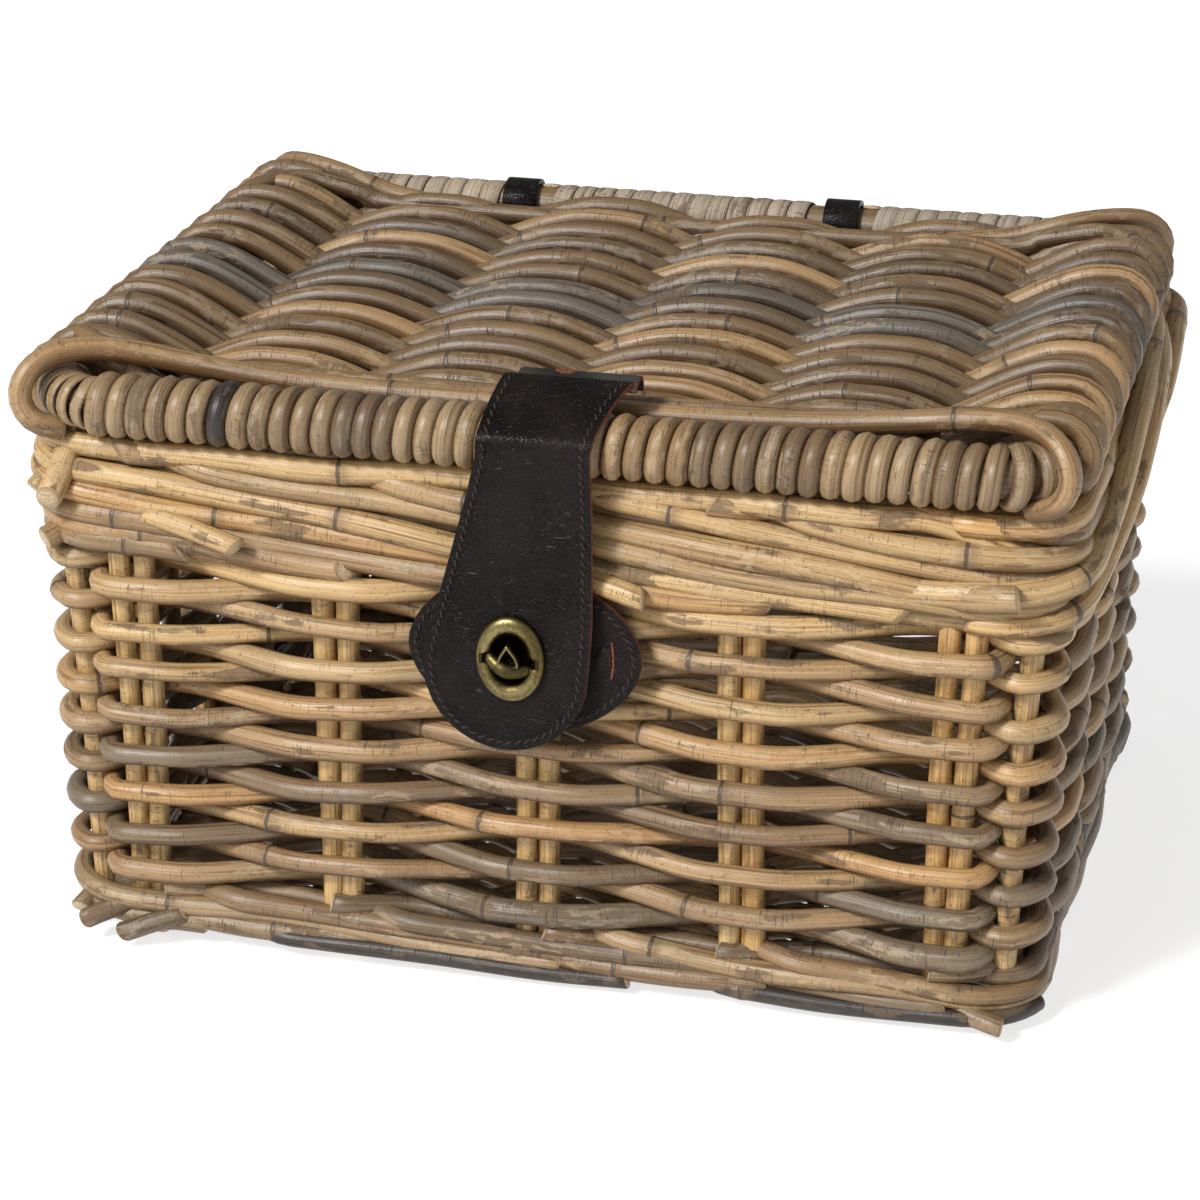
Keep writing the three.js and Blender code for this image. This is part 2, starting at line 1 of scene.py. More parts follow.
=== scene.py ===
# A woven cane hamper with a hinged lid, a leather strap and a turn-lock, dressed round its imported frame.
# Metres, +Z up, front towards -Y.
import math
import bpy
import bmesh
import numpy as np
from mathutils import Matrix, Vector


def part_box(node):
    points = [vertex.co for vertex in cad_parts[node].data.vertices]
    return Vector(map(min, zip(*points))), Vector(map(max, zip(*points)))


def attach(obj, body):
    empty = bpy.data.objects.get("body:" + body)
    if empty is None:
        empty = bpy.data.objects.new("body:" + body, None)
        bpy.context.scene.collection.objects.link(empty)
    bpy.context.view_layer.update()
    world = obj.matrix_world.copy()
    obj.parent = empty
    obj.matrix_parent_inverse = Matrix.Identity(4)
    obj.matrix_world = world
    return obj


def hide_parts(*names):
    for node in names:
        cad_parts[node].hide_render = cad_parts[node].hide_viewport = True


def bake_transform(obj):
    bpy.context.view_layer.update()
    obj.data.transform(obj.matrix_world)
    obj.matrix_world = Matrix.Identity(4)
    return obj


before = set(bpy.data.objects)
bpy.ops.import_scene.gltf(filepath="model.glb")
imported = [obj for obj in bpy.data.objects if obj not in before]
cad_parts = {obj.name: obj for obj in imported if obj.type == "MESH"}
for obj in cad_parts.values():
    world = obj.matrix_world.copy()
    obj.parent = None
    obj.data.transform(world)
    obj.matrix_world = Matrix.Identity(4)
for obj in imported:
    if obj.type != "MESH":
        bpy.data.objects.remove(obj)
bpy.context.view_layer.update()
bpy.ops.object.select_all(action="DESELECT")


# ---- Camera and light
# The hamper is seen from a little to the right of its front and from above, through a long lens, in a
# soft tent of light whose key stands in front, high and to the left.
camera_place = Vector((0.34796, -1.44511, 0.70543))
camera_target = Vector((-0.01212, 0.01094, 0.10034))
bpy.ops.object.camera_add(location=camera_place)
camera = bpy.context.object
camera.rotation_euler = (camera_target - camera_place).to_track_quat("-Z", "Y").to_euler()
camera.data.sensor_width = 36
camera.data.lens = 115.3
bpy.context.scene.camera = camera


def soft_light(name, place, size, power, color=(1, 1, 1)):
    """A square soft box that faces the middle of the hamper."""
    bpy.ops.object.light_add(type="AREA", location=place)
    light = bpy.context.object
    light.name = name
    light.rotation_euler = (Vector((0, 0, 0.12)) - Vector(place)).to_track_quat("-Z", "Y").to_euler()
    light.data.size = size
    light.data.energy = power
    light.data.color = color


soft_light("front_light", (-0.7, -1.7, 0.9), 0.7, 9, (1.0, 0.97, 0.93))
soft_light("fill_light", (1.6, -0.7, 0.8), 1.2, 4, (0.97, 0.98, 1.0))
key_from = Vector((-0.50, -0.72, 0.80))
bpy.ops.object.light_add(type="SUN", location=key_from)
key = bpy.context.object
key.name = "key_light"
key.rotation_euler = (-key_from).to_track_quat("-Z", "Y").to_euler()
key.data.energy = 3.3
key.data.angle = math.radians(13)

world = bpy.data.worlds.new("studio")
bpy.context.scene.world = world
world.use_nodes = True
tent = world.node_tree.nodes["Background"]
tent.inputs["Color"].default_value = (1.0, 1.0, 1.0, 1.0)
tent.inputs["Strength"].default_value = 0.26
bpy.context.scene.view_settings.view_transform = "Standard"

bpy.ops.mesh.primitive_plane_add(size=12, location=(0, 0, 0))
floor = bpy.context.object
floor.name = "floor"
floor_material = bpy.data.materials.new("floor_white")
floor_material.use_nodes = True
floor_shader = floor_material.node_tree.nodes["Principled BSDF"]
floor_shader.inputs["Base Color"].default_value = (0.4, 0.4, 0.4, 1.0)
floor_shader.inputs["Emission Color"].default_value = (1.0, 1.0, 1.0, 1.0)
floor_shader.inputs["Emission Strength"].default_value = 0.72
floor_shader.inputs["Roughness"].default_value = 0.9
floor.data.materials.append(floor_material)


# ---- Woven walls
# Sixteen rows of round cane run round the basket, each in front of one stake and behind the next.
# Each row is two canes whose cut ends lie inside, behind a stake. The cane is kubu: unpeeled, weathered
# from honey to grey-brown, with dark rings at its knots and flakes of old skin.
def new_finish(name):
    """A new material with only a Principled shader on its output."""
    material = bpy.data.materials.new(name)
    material.use_nodes = True
    tree = material.node_tree
    tree.nodes.clear()
    output = tree.nodes.new("ShaderNodeOutputMaterial")
    shader = tree.nodes.new("ShaderNodeBsdfPrincipled")
    tree.links.new(shader.outputs["BSDF"], output.inputs["Surface"])
    return material, tree, shader


def feed(socket, value):
    """Links a socket to another node's output, or sets it to a plain value."""
    if isinstance(value, bpy.types.NodeSocket):
        socket.id_data.links.new(value, socket)
    elif isinstance(value, tuple) and len(value) == 3 and socket.type == "RGBA":
        socket.default_value = (*value, 1.0)
    else:
        socket.default_value = value


def noise(vector, scale, detail=3.0, stretch=(1, 1, 1)):
    """Noise on a vector that is stretched first, so that its grain can run along a cane."""
    scaled = vector.id_data.nodes.new("ShaderNodeVectorMath")
    scaled.operation = "MULTIPLY"
    feed(scaled.inputs[0], vector)
    scaled.inputs[1].default_value = stretch
    texture = vector.id_data.nodes.new("ShaderNodeTexNoise")
    texture.inputs["Scale"].default_value = scale
    texture.inputs["Detail"].default_value = detail
    feed(texture.inputs["Vector"], scaled.outputs[0])
    return texture.outputs["Fac"]


def remap(value, low, high, to_low=0.0, to_high=1.0):
    """A smooth ramp of a value between two limits."""
    node = value.id_data.nodes.new("ShaderNodeMapRange")
    node.interpolation_type = "SMOOTHSTEP"
    for socket, setting in zip(node.inputs[:5], (value, low, high, to_low, to_high)):
        feed(socket, setting)
    return node.outputs["Result"]


def mix(share, first, second, blend="MIX"):
    """Two colours mixed by a share."""
    node = share.id_data.nodes.new("ShaderNodeMix")
    node.data_type = "RGBA"
    node.blend_type = blend
    feed(node.inputs["Factor"], share)
    feed(node.inputs[6], first)
    feed(node.inputs[7], second)
    return node.outputs[2]


def calculate(operation, first, second):
    """One sum of a value with another value or a number."""
    node = first.id_data.nodes.new("ShaderNodeMath")
    node.operation = operation
    feed(node.inputs[0], first)
    feed(node.inputs[1], second)
    return node.outputs[0]


def plus(first, second):
    """Their sum."""
    return calculate("ADD", first, second)


def minus(first, second):
    """The first without the second."""
    return calculate("SUBTRACT", first, second)


def times(first, second):
    """Their product."""
    return calculate("MULTIPLY", first, second)


def ramp(value, stops):
    """A colour ramp from (place, colour) pairs."""
    node = value.id_data.nodes.new("ShaderNodeValToRGB")
    feed(node.inputs[0], value)
    band = node.color_ramp
    while len(band.elements) > 1:
        band.elements.remove(band.elements[-1])
    band.elements[0].position = stops[0][0]
    band.elements[0].color = (*stops[0][1], 1.0)
    for place, color in stops[1:]:
        band.elements.new(place).color = (*color, 1.0)
    return node.outputs["Color"]


def emboss(shader, height, distance, strength=1.0):
    """Raises and sinks the surface by a height."""
    bump = shader.id_data.nodes.new("ShaderNodeBump")
    bump.inputs["Distance"].default_value = distance
    bump.inputs["Strength"].default_value = strength
    feed(bump.inputs["Height"], height)
    feed(shader.inputs["Normal"], bump.outputs["Normal"])


def named(tree, attribute, output="Fac"):
    """What a piece's mesh says at each point under a name."""
    node = tree.nodes.new("ShaderNodeAttribute")
    node.attribute_name = attribute
    return node.outputs[output]


# Skin colours that several kinds of cane share, and the dark of old stains
straw = (0.55, 0.375, 0.175)
tan = (0.34, 0.22, 0.112)
brown = (0.20, 0.125, 0.064)
olive = (0.17, 0.132, 0.088)
char = (0.035, 0.026, 0.02)
soot = tuple((a + b) / 2 for a, b in zip(char, brown))
# What turns a cane honey-coloured or grey, as a share of its own colour
honeyed = (1.12, 0.9, 0.66)
greyed = (0.8, 0.84, 0.9)


def cane_finish(name, light, middle, dark, flake=0.5, stain=0.5, roughness=0.38, variety=0.55,
                painted_shade_level=-0.8):
    """Cane whose colour goes from light to dark with each cane's tone, and which some canes turn honey or
    grey. Its grain runs along it, and it has stains, flakes, checks and knots. Where each cane faces down it
    is given painted shade, which reaches further up its sides the higher painted_shade_level is."""
    material, tree, shader = new_finish(name)
    skin = named(tree, "skin", "Vector")
    seed = named(tree, "seed")

    cloud = noise(skin, 1.0, 2.0, (55, 55, 7))
    level = plus(named(tree, "tone"), times(minus(cloud, 0.5), 0.75))
    body = ramp(level, [(0.08, light), (0.5, middle), (0.92, dark)])
    body = mix(remap(seed, 0.0, 0.3, variety, 0.0), body, honeyed, "MULTIPLY")
    body = mix(remap(seed, 0.8, 0.9, 0.0, variety), body, greyed, "MULTIPLY")

    grain = noise(skin, 1.0, 4.0, (1500, 1500, 26))
    body = mix(remap(grain, 0.35, 0.7, 0.0, 0.7), body, (0.55, 0.47, 0.38), "MULTIPLY")
    streaks = remap(noise(skin, 1.0, 4.0, (620, 620, 15)), 0.54, 0.68)
    body = mix(times(streaks, 0.75), body, (0.42, 0.33, 0.25), "MULTIPLY")
    fine = noise(skin, 1.0, 2.0, (3600, 3600, 120))
    body = mix(remap(fine, 0.5, 0.75, 0.0, 0.35), body, (1.35, 1.3, 1.2), "MULTIPLY")

    # Painted shade: the cane is darkened where its surface faces down (on a wound cane, where it faces the
    # rail), below painted_shade_level.
    crown = plus(named(tree, "crown"), times(minus(grain, 0.5), 0.5))
    body = mix(remap(crown, painted_shade_level, painted_shade_level + 0.75, 0.75, 0.0), body, (0.36, 0.26, 0.18), "MULTIPLY")

    spotted = times(remap(seed, 0.40, 0.44), remap(seed, 0.58, 0.62, 1.0, 0.0))
    stains = plus(noise(skin, 1.0, 5.0, (170, 170, 42)), times(spotted, 0.055))
    edge = 0.64 - 0.1 * stain
    stained = remap(stains, edge, edge + 0.06, 0.0, 0.75)
    body = mix(stained, body, soot)

    flakes = noise(skin, 1.0, 6.0, (420, 420, 150))
    patchy = remap(noise(skin, 1.0, 2.0, (90, 90, 22)), 0.5, 0.62)
    flaked = times(times(remap(flakes, 0.52, 0.57), patchy), flake)
    old_skin = mix(remap(seed, 0.3, 0.7), (0.50, 0.37, 0.22), (0.36, 0.30, 0.22))
    body = mix(flaked, body, old_skin)

    specks = remap(noise(skin, 1.0, 3.0, (950, 950, 420)), 0.62, 0.68)
    body = mix(times(specks, 0.45), body, char)

    checks = remap(noise(skin, 1.0, 2.0, (210, 210, 2300)), 0.5, 0.72, 0.0, 0.5)
    checked = remap(noise(skin, 1.0, 2.0, (60, 60, 18)), 0.47, 0.6)
    body = mix(times(checks, checked), body, (0.4, 0.32, 0.25), "MULTIPLY")
    cracks = remap(noise(skin, 1.0, 3.0, (130, 130, 1500)), 0.62, 0.68)
    cracks = times(cracks, remap(stains, 0.5, 0.6, 0.1, 0.8))
    body = mix(times(cracks, 0.6), body, char)

    ragged = plus(named(tree, "knot"), times(flakes, 0.0014))
    ring = remap(ragged, 0.0011, 0.0019, 0.85, 0.0)
    halo = remap(ragged, 0.002, 0.007, 0.45, 0.0)
    body = mix(halo, body, (0.16, 0.1, 0.05))
    body = mix(ring, body, (0.05, 0.032, 0.02))

    pores = noise(skin, 1.0, 2.0, (2600, 2600, 2600))
    pith = mix(remap(pores, 0.45, 0.6), (0.55, 0.42, 0.26), (0.24, 0.16, 0.09))
    body = mix(remap(named(tree, "cut"), 0.3, 0.8), body, pith)
    feed(shader.inputs["Base Color"], body)

    dull = remap(plus(flaked, stained), 0.0, 1.0, roughness, 0.8)
    feed(shader.inputs["Roughness"], plus(dull, times(grain, 0.08)))
    shader.inputs["Specular IOR Level"].default_value = 0.5

    height = plus(times(grain, 0.5), times(flaked, 0.5))
    height = minus(height, times(cracks, 0.9))
    height = minus(height, times(ring, 0.8))
    emboss(shader, height, 0.0005, 0.8)
    return material


def through_points(points, step=0.003):
    """A smooth path through a few points, as many close ones."""
    points = np.asarray(points, float)
    ends = np.vstack([2 * points[0] - points[1], points, 2 * points[-1] - points[-2]])
    path = [points[0]]
    for a, b, c, d in zip(ends, ends[1:], ends[2:], ends[3:]):
        count = max(2, int(np.linalg.norm(c - b) / step))
        t = np.linspace(0, 1, count + 1)[1:, None]
        path.extend(0.5 * (2 * b + (c - a) * t + (2 * a - 5 * b + 4 * c - d) * t**2
                           + (3 * b - a - 3 * c + d) * t**3))
    return np.array(path)


def distances(path):
    """How far along a path each of its points is."""
    return np.concatenate([[0], np.cumsum(np.linalg.norm(np.diff(path, axis=0), axis=1))])


def along_path(places, walked, values):
    """What a path's values are at places along it."""
    return np.stack([np.interp(places, walked, values[:, axis]) for axis in range(3)], axis=1)


def unit(vectors):
    """Each row of vectors at length one."""
    return vectors / np.linalg.norm(vectors, axis=1)[:, None]


def cane(rng, path, diameter, tone, step=0.005, sides=12, flat=1.0, facing=None, knots=True, slant=0.0):
    """One length of cane along a path: its points, faces and what its material reads.
    A flat cane is thin across the direction it faces. Knots swell it a little every so often, and both
    ends are cut, at a slant if it says so, with a small chamfer."""
    path = np.asarray(path, float)
    walked = distances(path)
    length = walked[-1]
    places = np.linspace(0, length, max(3, int(length / step) + 1))
    knot_places = []
    place = rng.uniform(0.03, 0.25)
    while knots and place < length - 0.01:
        knot_places.append(place)
        place += rng.uniform(0.13, 0.33)
    if knot_places:
        near = np.min(np.abs(places[:, None] - np.array(knot_places)), axis=1)
        shifts = (-0.0028, -0.0012, 0.0, 0.0012, 0.0028)
        close_rings = [knot + shift for knot in knot_places for shift in shifts]
        places = np.sort(np.concatenate([places[near > 0.0032], close_rings]))
    count = len(places)
    centre = along_path(places, walked, path)
    tangent = unit(np.gradient(centre, places, axis=0))
    if knot_places:
        to_knot = np.min(np.abs(places[:, None] - np.array(knot_places)), axis=1)
    else:
        to_knot = np.ones(count)

    normal = np.zeros_like(centre)
    if facing is None:
        across = np.array([0.0, 0.0, 1.0]) if abs(tangent[0][2]) < 0.8 else np.array([1.0, 0.0, 0.0])
        for i in range(count):
            across = across - across.dot(tangent[i]) * tangent[i]
            across /= np.linalg.norm(across)
            normal[i] = across
    else:
        normal = along_path(places, walked, np.asarray(facing, float))
        normal = unit(normal - np.sum(normal * tangent, axis=1)[:, None] * tangent)
    side = np.cross(tangent, normal)

    turn = np.linspace(0, 2 * math.pi, sides, endpoint=False)
    phase = rng.uniform(0, 2 * math.pi, 4)
    uneven = 0.035 * np.sin(places * 38 + phase[0]) + 0.02 * np.sin(places * 97 + phase[1])
    radius = diameter / 2 * (1 + uneven)
    if knots:
        radius = radius + 0.00035 * np.exp(-((to_knot / 0.0022) ** 2))
    egg = 1 + 0.03 * np.cos(2 * turn[None, :] + phase[2] + 9 * places[:, None])
    around = radius[:, None] * egg
    rings = (centre[:, None, :]
             + flat * around[:, :, None] * np.cos(turn)[None, :, None] * normal[:, None, :]
             + around[:, :, None] * np.sin(turn)[None, :, None] * side[:, None, :])
    # crown is how far each point faces up (on a wound cane, out from the rail); the material paints shade
    # where it is low.
    if facing is None:
        crown = (rings - centre[:, None, :])[:, :, 2] / around + 1.2 * tangent[:, 2][:, None]**2
    else:
        crown = np.tile(np.cos(turn), (count, 1))
    lean = slant * radius[0] * np.cos(turn + phase[3])
    rings[0] += lean[:, None] * tangent[0]
    rings[-1] += lean[:, None] * tangent[-1]

    points = [rings.reshape(-1, 3)]
    chamfer = 0.12 * diameter * flat
    for end, away in ((0, -chamfer), (count - 1, chamfer)):
        points.append(centre[end] + (rings[end] - centre[end]) * 0.84 + away * tangent[end])
        points.append((centre[end] + away * 1.15 * tangent[end])[None, :])
    points = np.vstack(points)

    ring_of = np.arange(count * sides).reshape(count, sides)
    quads = np.stack([ring_of[:-1], np.roll(ring_of[:-1], -1, axis=1), np.roll(ring_of[1:], -1, axis=1),
                      ring_of[1:]], axis=2).reshape(-1, 4)
    faces = quads.tolist()
    base = count * sides
    for end, flip in ((0, True), (count - 1, False)):
        start = base if end == 0 else base + sides + 1
        for s in range(sides):
            n = (s + 1) % sides
            a, b = ring_of[end][s], ring_of[end][n]
            c, d, tip = start + s, start + n, start + sides
            faces.append([b, a, c, d] if flip else [a, b, d, c])
            faces.append([d, c, tip] if flip else [c, d, tip])

    shift = rng.uniform(0, 3)
    skin = np.zeros((len(points), 3))
    skin[:base, 0] = np.tile(np.cos(turn), count) * diameter / 2
    skin[:base, 1] = np.tile(np.sin(turn), count) * diameter / 2
    skin[:base, 2] = np.repeat(places, sides) + shift
    skin[base:] = points[base:] + shift
    ends = np.ones(len(points) - base)
    return {"points": points, "faces": faces, "skin": skin,
            "knot": np.concatenate([np.repeat(to_knot, sides), ends]),
            "cut": np.concatenate([np.zeros(base), ends]),
            "crown": np.concatenate([crown.ravel(), ends]),
            "tone": np.full(len(points), tone),
            "seed": np.full(len(points), rng.uniform())}


def outward(mesh):
    """Turns a closed mesh's faces outwards."""
    sculpt = bmesh.new()
    sculpt.from_mesh(mesh)
    bmesh.ops.recalc_face_normals(sculpt, faces=sculpt.faces)
    sculpt.to_mesh(mesh)
    sculpt.free()


def settle(piece, body, slot, *replaced):
    """A piece is tied to one body's empty; given (body, body, start, end) instead, it is only baked where it
    stands, tied to no body. It may stand for nodes, which it hides.
    """
    if isinstance(body, tuple):
        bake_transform(piece)
    else:
        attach(piece, body)
    if replaced:
        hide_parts(*replaced)


def smooth_piece(name, points, faces, layers, material):
    """A piece with smooth outward faces, whose material reads the layers of values at its points."""
    mesh = bpy.data.meshes.new(name)
    mesh.from_pydata(points, [], faces)
    for key, values in layers.items():
        layer = mesh.attributes.new(key, "FLOAT", "POINT")
        layer.data.foreach_set("value", values)
    mesh.polygons.foreach_set("use_smooth", [True] * len(mesh.polygons))
    outward(mesh)
    mesh.materials.append(material)
    piece = bpy.data.objects.new(name, mesh)
    bpy.context.scene.collection.objects.link(piece)
    return piece


def cane_piece(name, canes, material, body, slot, *replaced):
    """Puts lengths of cane together as one piece."""
    faces = []
    base = 0
    for one in canes:
        faces.extend([[base + corner for corner in face] for face in one["faces"]])
        base += len(one["points"])
    layers = {key: np.concatenate([one[key] for one in canes])
              for key in ("knot", "cut", "crown", "tone", "seed")}
    points = np.vstack([one["points"] for one in canes])
    piece = smooth_piece(name, points.tolist(), faces, layers, material)
    skin = piece.data.attributes.new("skin", "FLOAT_VECTOR", "POINT")
    skin.data.foreach_set("vector", np.vstack([one["skin"] for one in canes]).ravel())
    settle(piece, body, slot, *replaced)


def box_of(node):
    """The middle and the size of a CAD node's box."""
    low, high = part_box(node)
    return [(low[axis] + high[axis]) / 2 for axis in range(3)], [high[axis] - low[axis] for axis in range(3)]


def centre_of(node):
    """The middle of a CAD node's box."""
    return box_of(node)[0]


# The stakes stand on a rounded rectangle; a place on it is a distance round it from the front's middle
stakes_left, stakes_right = centre_of("left_stakes_2")[0], centre_of("right_stakes_2")[0]
stakes_front, stakes_back = centre_of("front_stakes_3")[1], centre_of("back_stakes_3")[1]
line_half_x, line_mid_x = (stakes_right - stakes_left) / 2, (stakes_right + stakes_left) / 2
line_half_y, line_mid_y = (stakes_back - stakes_front) / 2, (stakes_back + stakes_front) / 2
line_corner = 0.020
flat_x, flat_y = line_half_x - line_corner, line_half_y - line_corner
corner_run = math.pi / 2 * line_corner
line_runs = [flat_x, corner_run, 2 * flat_y, corner_run, 2 * flat_x, corner_run, 2 * flat_y, corner_run,
             flat_x]
line_length = sum(line_runs)
wall_head = 0.165


def clamp(value):
    """A value kept between 0 and 1."""
    return min(1.0, max(0.0, value))


def spread(x, y, z):
    """Near its ends the basket widens a little from its foot to its wall's head, and more in its rim."""
    share = clamp((abs(x) - 0.12) / 0.06)
    grow = 0.0042 * min(1.0, z / wall_head) + 0.0055 * clamp((z - wall_head) / 0.03)
    return (x + math.copysign(grow * share**2, x), y, z)


def on_line(place, out, height):
    """The point that lies out from the stakes' line at a distance round it, anticlockwise from above."""
    place = place % line_length
    turns = 0
    for index, run in enumerate(line_runs):
        if place <= run or index == len(line_runs) - 1:
            break
        place -= run
        turns = (index + 1) // 2
    heading = turns * math.pi / 2
    if index % 2:
        corners = [(flat_x, -flat_y), (flat_x, flat_y), (-flat_x, flat_y), (-flat_x, -flat_y)]
        corner_x, corner_y = corners[index // 2]
        angle = heading - math.pi / 2 + place / line_corner
        reach = line_corner + out
        return spread(line_mid_x + corner_x + reach * math.cos(angle),
                      line_mid_y + corner_y + reach * math.sin(angle), height)
    starts = {0: (0, -line_half_y), 2: (line_half_x, -flat_y), 4: (flat_x, line_half_y),
              6: (-line_half_x, flat_y), 8: (-flat_x, -line_half_y)}
    x, y = starts[index]
    x += place * math.cos(heading) + out * math.sin(heading)
    y += place * math.sin(heading) - out * math.cos(heading)
    return spread(line_mid_x + x, line_mid_y + y, height)


round_places = np.arange(0, line_length, 0.0005)
round_points = np.array([on_line(place, 0, 0)[:2] for place in round_places])


def place_of(node):
    """How far round the line a stake stands."""
    x, y, _ = centre_of(node)
    return round_places[np.argmin(np.hypot(round_points[:, 0] - x, round_points[:, 1] - y))]


stake_nodes = ([f"front_stakes_{n}" for n in range(1, 6)] + [f"back_stakes_{n}" for n in range(1, 6)]
               + [f"left_stakes_{n}" for n in range(1, 4)] + [f"right_stakes_{n}" for n in range(1, 4)])
corner_nodes = [f"corner_stake_{end}_{side}" for end in ("front", "back") for side in ("left", "right")]
pair_half = 0.0085
corner_half = 0.003
stations = sorted([(place_of(node), pair_half) for node in stake_nodes]
                  + [(place_of(node), corner_half) for node in corner_nodes])
station_places = np.array([place for place, _ in stations])
station_halves = np.array([half for _, half in stations])

row_count = 16
wall_low, wall_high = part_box("front_wall")[0][2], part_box("front_wall")[1][2]
row_pitch = (wall_high - wall_low) / row_count
wall_cane = 0.0089
stake_cane = 0.009
pinch = 0.001
weave_reach = (wall_cane + stake_cane) / 2 - pinch
weave_bend = 0.24


def eased_half(share):
    """From 0 to a half as share does, starting with a bend and going on straight."""
    if share < weave_bend:
        return share**2 / (2 * weave_bend * (1 - weave_bend))
    return (share - weave_bend / 2) / (1 - weave_bend)


def weave(place, phase):
    """How far out a row lies: flat in front of or behind each stake, and crossing over between them."""
    place = place % line_length
    after = np.searchsorted(station_places, place, side="right")
    before_index, after_index = (after - 1) % len(stations), after % len(stations)
    before, behind = station_places[before_index], station_places[after_index]
    if before > place:
        before -= line_length
    if behind < place:
        behind += line_length
    start, end = before + station_halves[before_index], behind - station_halves[after_index]
    share = clamp((place - start) / (end - start))
    eased = eased_half(share) if share < 0.5 else 1 - eased_half(1 - share)
    hand = 1 if (before_index + phase) % 2 == 0 else -1
    return hand * (1 - 2 * eased) * weave_reach


def drift(rng, waves=(0.31, 0.17, 0.094), sizes=(0.0009, 0.0006, 0.0004)):
    """A slow random wander along a cane."""
    phases = rng.uniform(0, 2 * math.pi, len(waves))
    return lambda place: sum(size * math.sin(2 * math.pi * place / wave + phase)
                             for wave, size, phase in zip(waves, sizes, phases))


weathered = cane_finish("weathered_cane", straw, tan, olive, flake=0.35, stain=0.4)
wall_rng = np.random.default_rng(11)
shared = drift(wall_rng, (0.42, 0.26), (0.0008, 0.0005))
overlap = 0.011
tuck_depth, tuck_run = 0.0048, 0.03
foot_tone, rim_tone, tone_scatter = 0.82, 0.20, 0.36
sides = ("front_wall", "back_wall", "left_wall", "right_wall")
for row in range(row_count):
    phase = row % 2
    height = wall_low + (row + 0.5) * row_pitch
    wander = drift(wall_rng)
    joins = [station_places[(index * 2 + (1 if phase == 0 else 0)) % len(stations)]
             for index in wall_rng.choice(10, 2, replace=False)]
    joins.sort()
    lengths = []
    spans = [(joins[0], joins[1], 0.4), (joins[1], joins[0] + line_length, 1)]
    for first, last, tucked in spans:
        start, end = first - overlap, last + overlap
        path = []
        for place in np.linspace(start, end, int((end - start) / 0.003)):
            to_end = min(place - start, end - place)
            tuck = -tuck_depth * max(0.0, 1 - to_end / tuck_run) * tucked
            path.append(on_line(place, weave(place, phase) + tuck, height + wander(place) + shared(place)))
        tone = foot_tone + (rim_tone - foot_tone) * row / row_count
        tone += wall_rng.uniform(-tone_scatter, tone_scatter)
        lengths.append(cane(wall_rng, path, wall_cane * wall_rng.uniform(0.9, 1.07), tone))
    cane_piece(f"wall_row_{row + 1:02d}", lengths, weathered, "basket", "weathered_cane", *sides)


# ---- Stakes
# Pairs of straight straw-coloured canes stand up through the weave, and one thicker cane in each corner.
# They are pushed through the base, so their cut feet show under the bottom border.
straw_cane = cane_finish("straw_cane", (0.60, 0.41, 0.18), (0.50, 0.335, 0.15), tan, flake=0.2, stain=0.12)
stake_rng = np.random.default_rng(23)
pair_size, corner_size = 0.0089, 0.0098
stake_foot_gap = 0.0042
pair_reach = 0.0046
stake_lean = 0.0012
foot_splay = 0.004
ankle_rise = 0.022
for node in stake_nodes:
    x, y, _ = centre_of(node)
    foot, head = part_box(node)[0][2] + stake_foot_gap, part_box(node)[1][2]
    along_x, along_y = (1, 0) if node.startswith(("front", "back")) else (0, 1)
    splay_x, splay_y = along_y * math.copysign(foot_splay, x), along_x * math.copysign(foot_splay, y)
    pair = []
    for reach in (-pair_reach, pair_reach):
        foot_lean, head_lean = stake_rng.uniform(-stake_lean, stake_lean, 2)
        low, high = reach + foot_lean, reach + head_lean
        line = [(x + along_x * low + splay_x, y + along_y * low + splay_y, foot),
                (x + along_x * low, y + along_y * low, foot + ankle_rise),
                (x + along_x * reach, y + along_y * reach, (foot + head) / 2),
                (x + along_x * high, y + along_y * high, head)]
        path = through_points([spread(*point) for point in line], 0.006)
        size = pair_size * stake_rng.uniform(0.94, 1.04)
        pair.append(cane(stake_rng, path, size, stake_rng.uniform(0.05, 0.5), slant=0.3))
    cane_piece(node + "_canes", pair, straw_cane, "basket", "pale_cane", node)
for node in corner_nodes:
    x, y, _ = centre_of(node)
    foot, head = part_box(node)[0][2] + stake_foot_gap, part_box(node)[1][2]
    path = through_points([spread(x, y, z) for z in (foot, (foot + head) / 2, head)], 0.01)
    single = cane(stake_rng, path, corner_size, stake_rng.uniform(0.2, 0.6), slant=0.3)
    cane_piece(node + "_cane", [single], straw_cane, "basket", "pale_cane", node)


# ---- Bottom border
# Canes a few stakes long wrap round the feet of the stakes: each starts high behind the one before it,
# runs down past three stakes and is cut short. A few are nearly black.
def eased(share):
    """From 0 to 1 as share does, slowly at both ends."""
    return share * share * (3 - 2 * share)


def border_strand(rng, start, length, high, low, out, diameter, tone, slant, wandering=1.0):
    """A cane that starts behind its neighbours at the high level and slopes to the low one, outside them."""
    sway, rise = drift(rng, (0.23, 0.11), (0.0011, 0.0007)), drift(rng, (0.19, 0.1), (0.0011, 0.0006))
    path = []
    for place in np.arange(0, length + 1e-9, 0.004):
        slope = 1 - (1 - place / length) ** 1.35
        emerge = eased(min(1.0, place / 0.035))
        finish = max(0.0, 1 - (length - place) / 0.03)
        reach = out * (2 * emerge - 1) - 0.0008 * math.copysign(1, out) * finish + wandering * sway(place)
        level = high + (low - high) * slope + wandering * rise(place)
        path.append(on_line(start + place, reach, level))
    return cane(rng, path, diameter, tone, slant=slant)


def cut_end(rng, start, finish, diameter, tones, slant):
    """The short end of a cane, sticking out of a border."""
    middle = (np.array(start) + np.array(finish)) / 2 + rng.uniform(-0.001, 0.001, 3)
    return cane(rng, through_points([start, middle, finish]), diameter, rng.uniform(*tones), slant=slant)


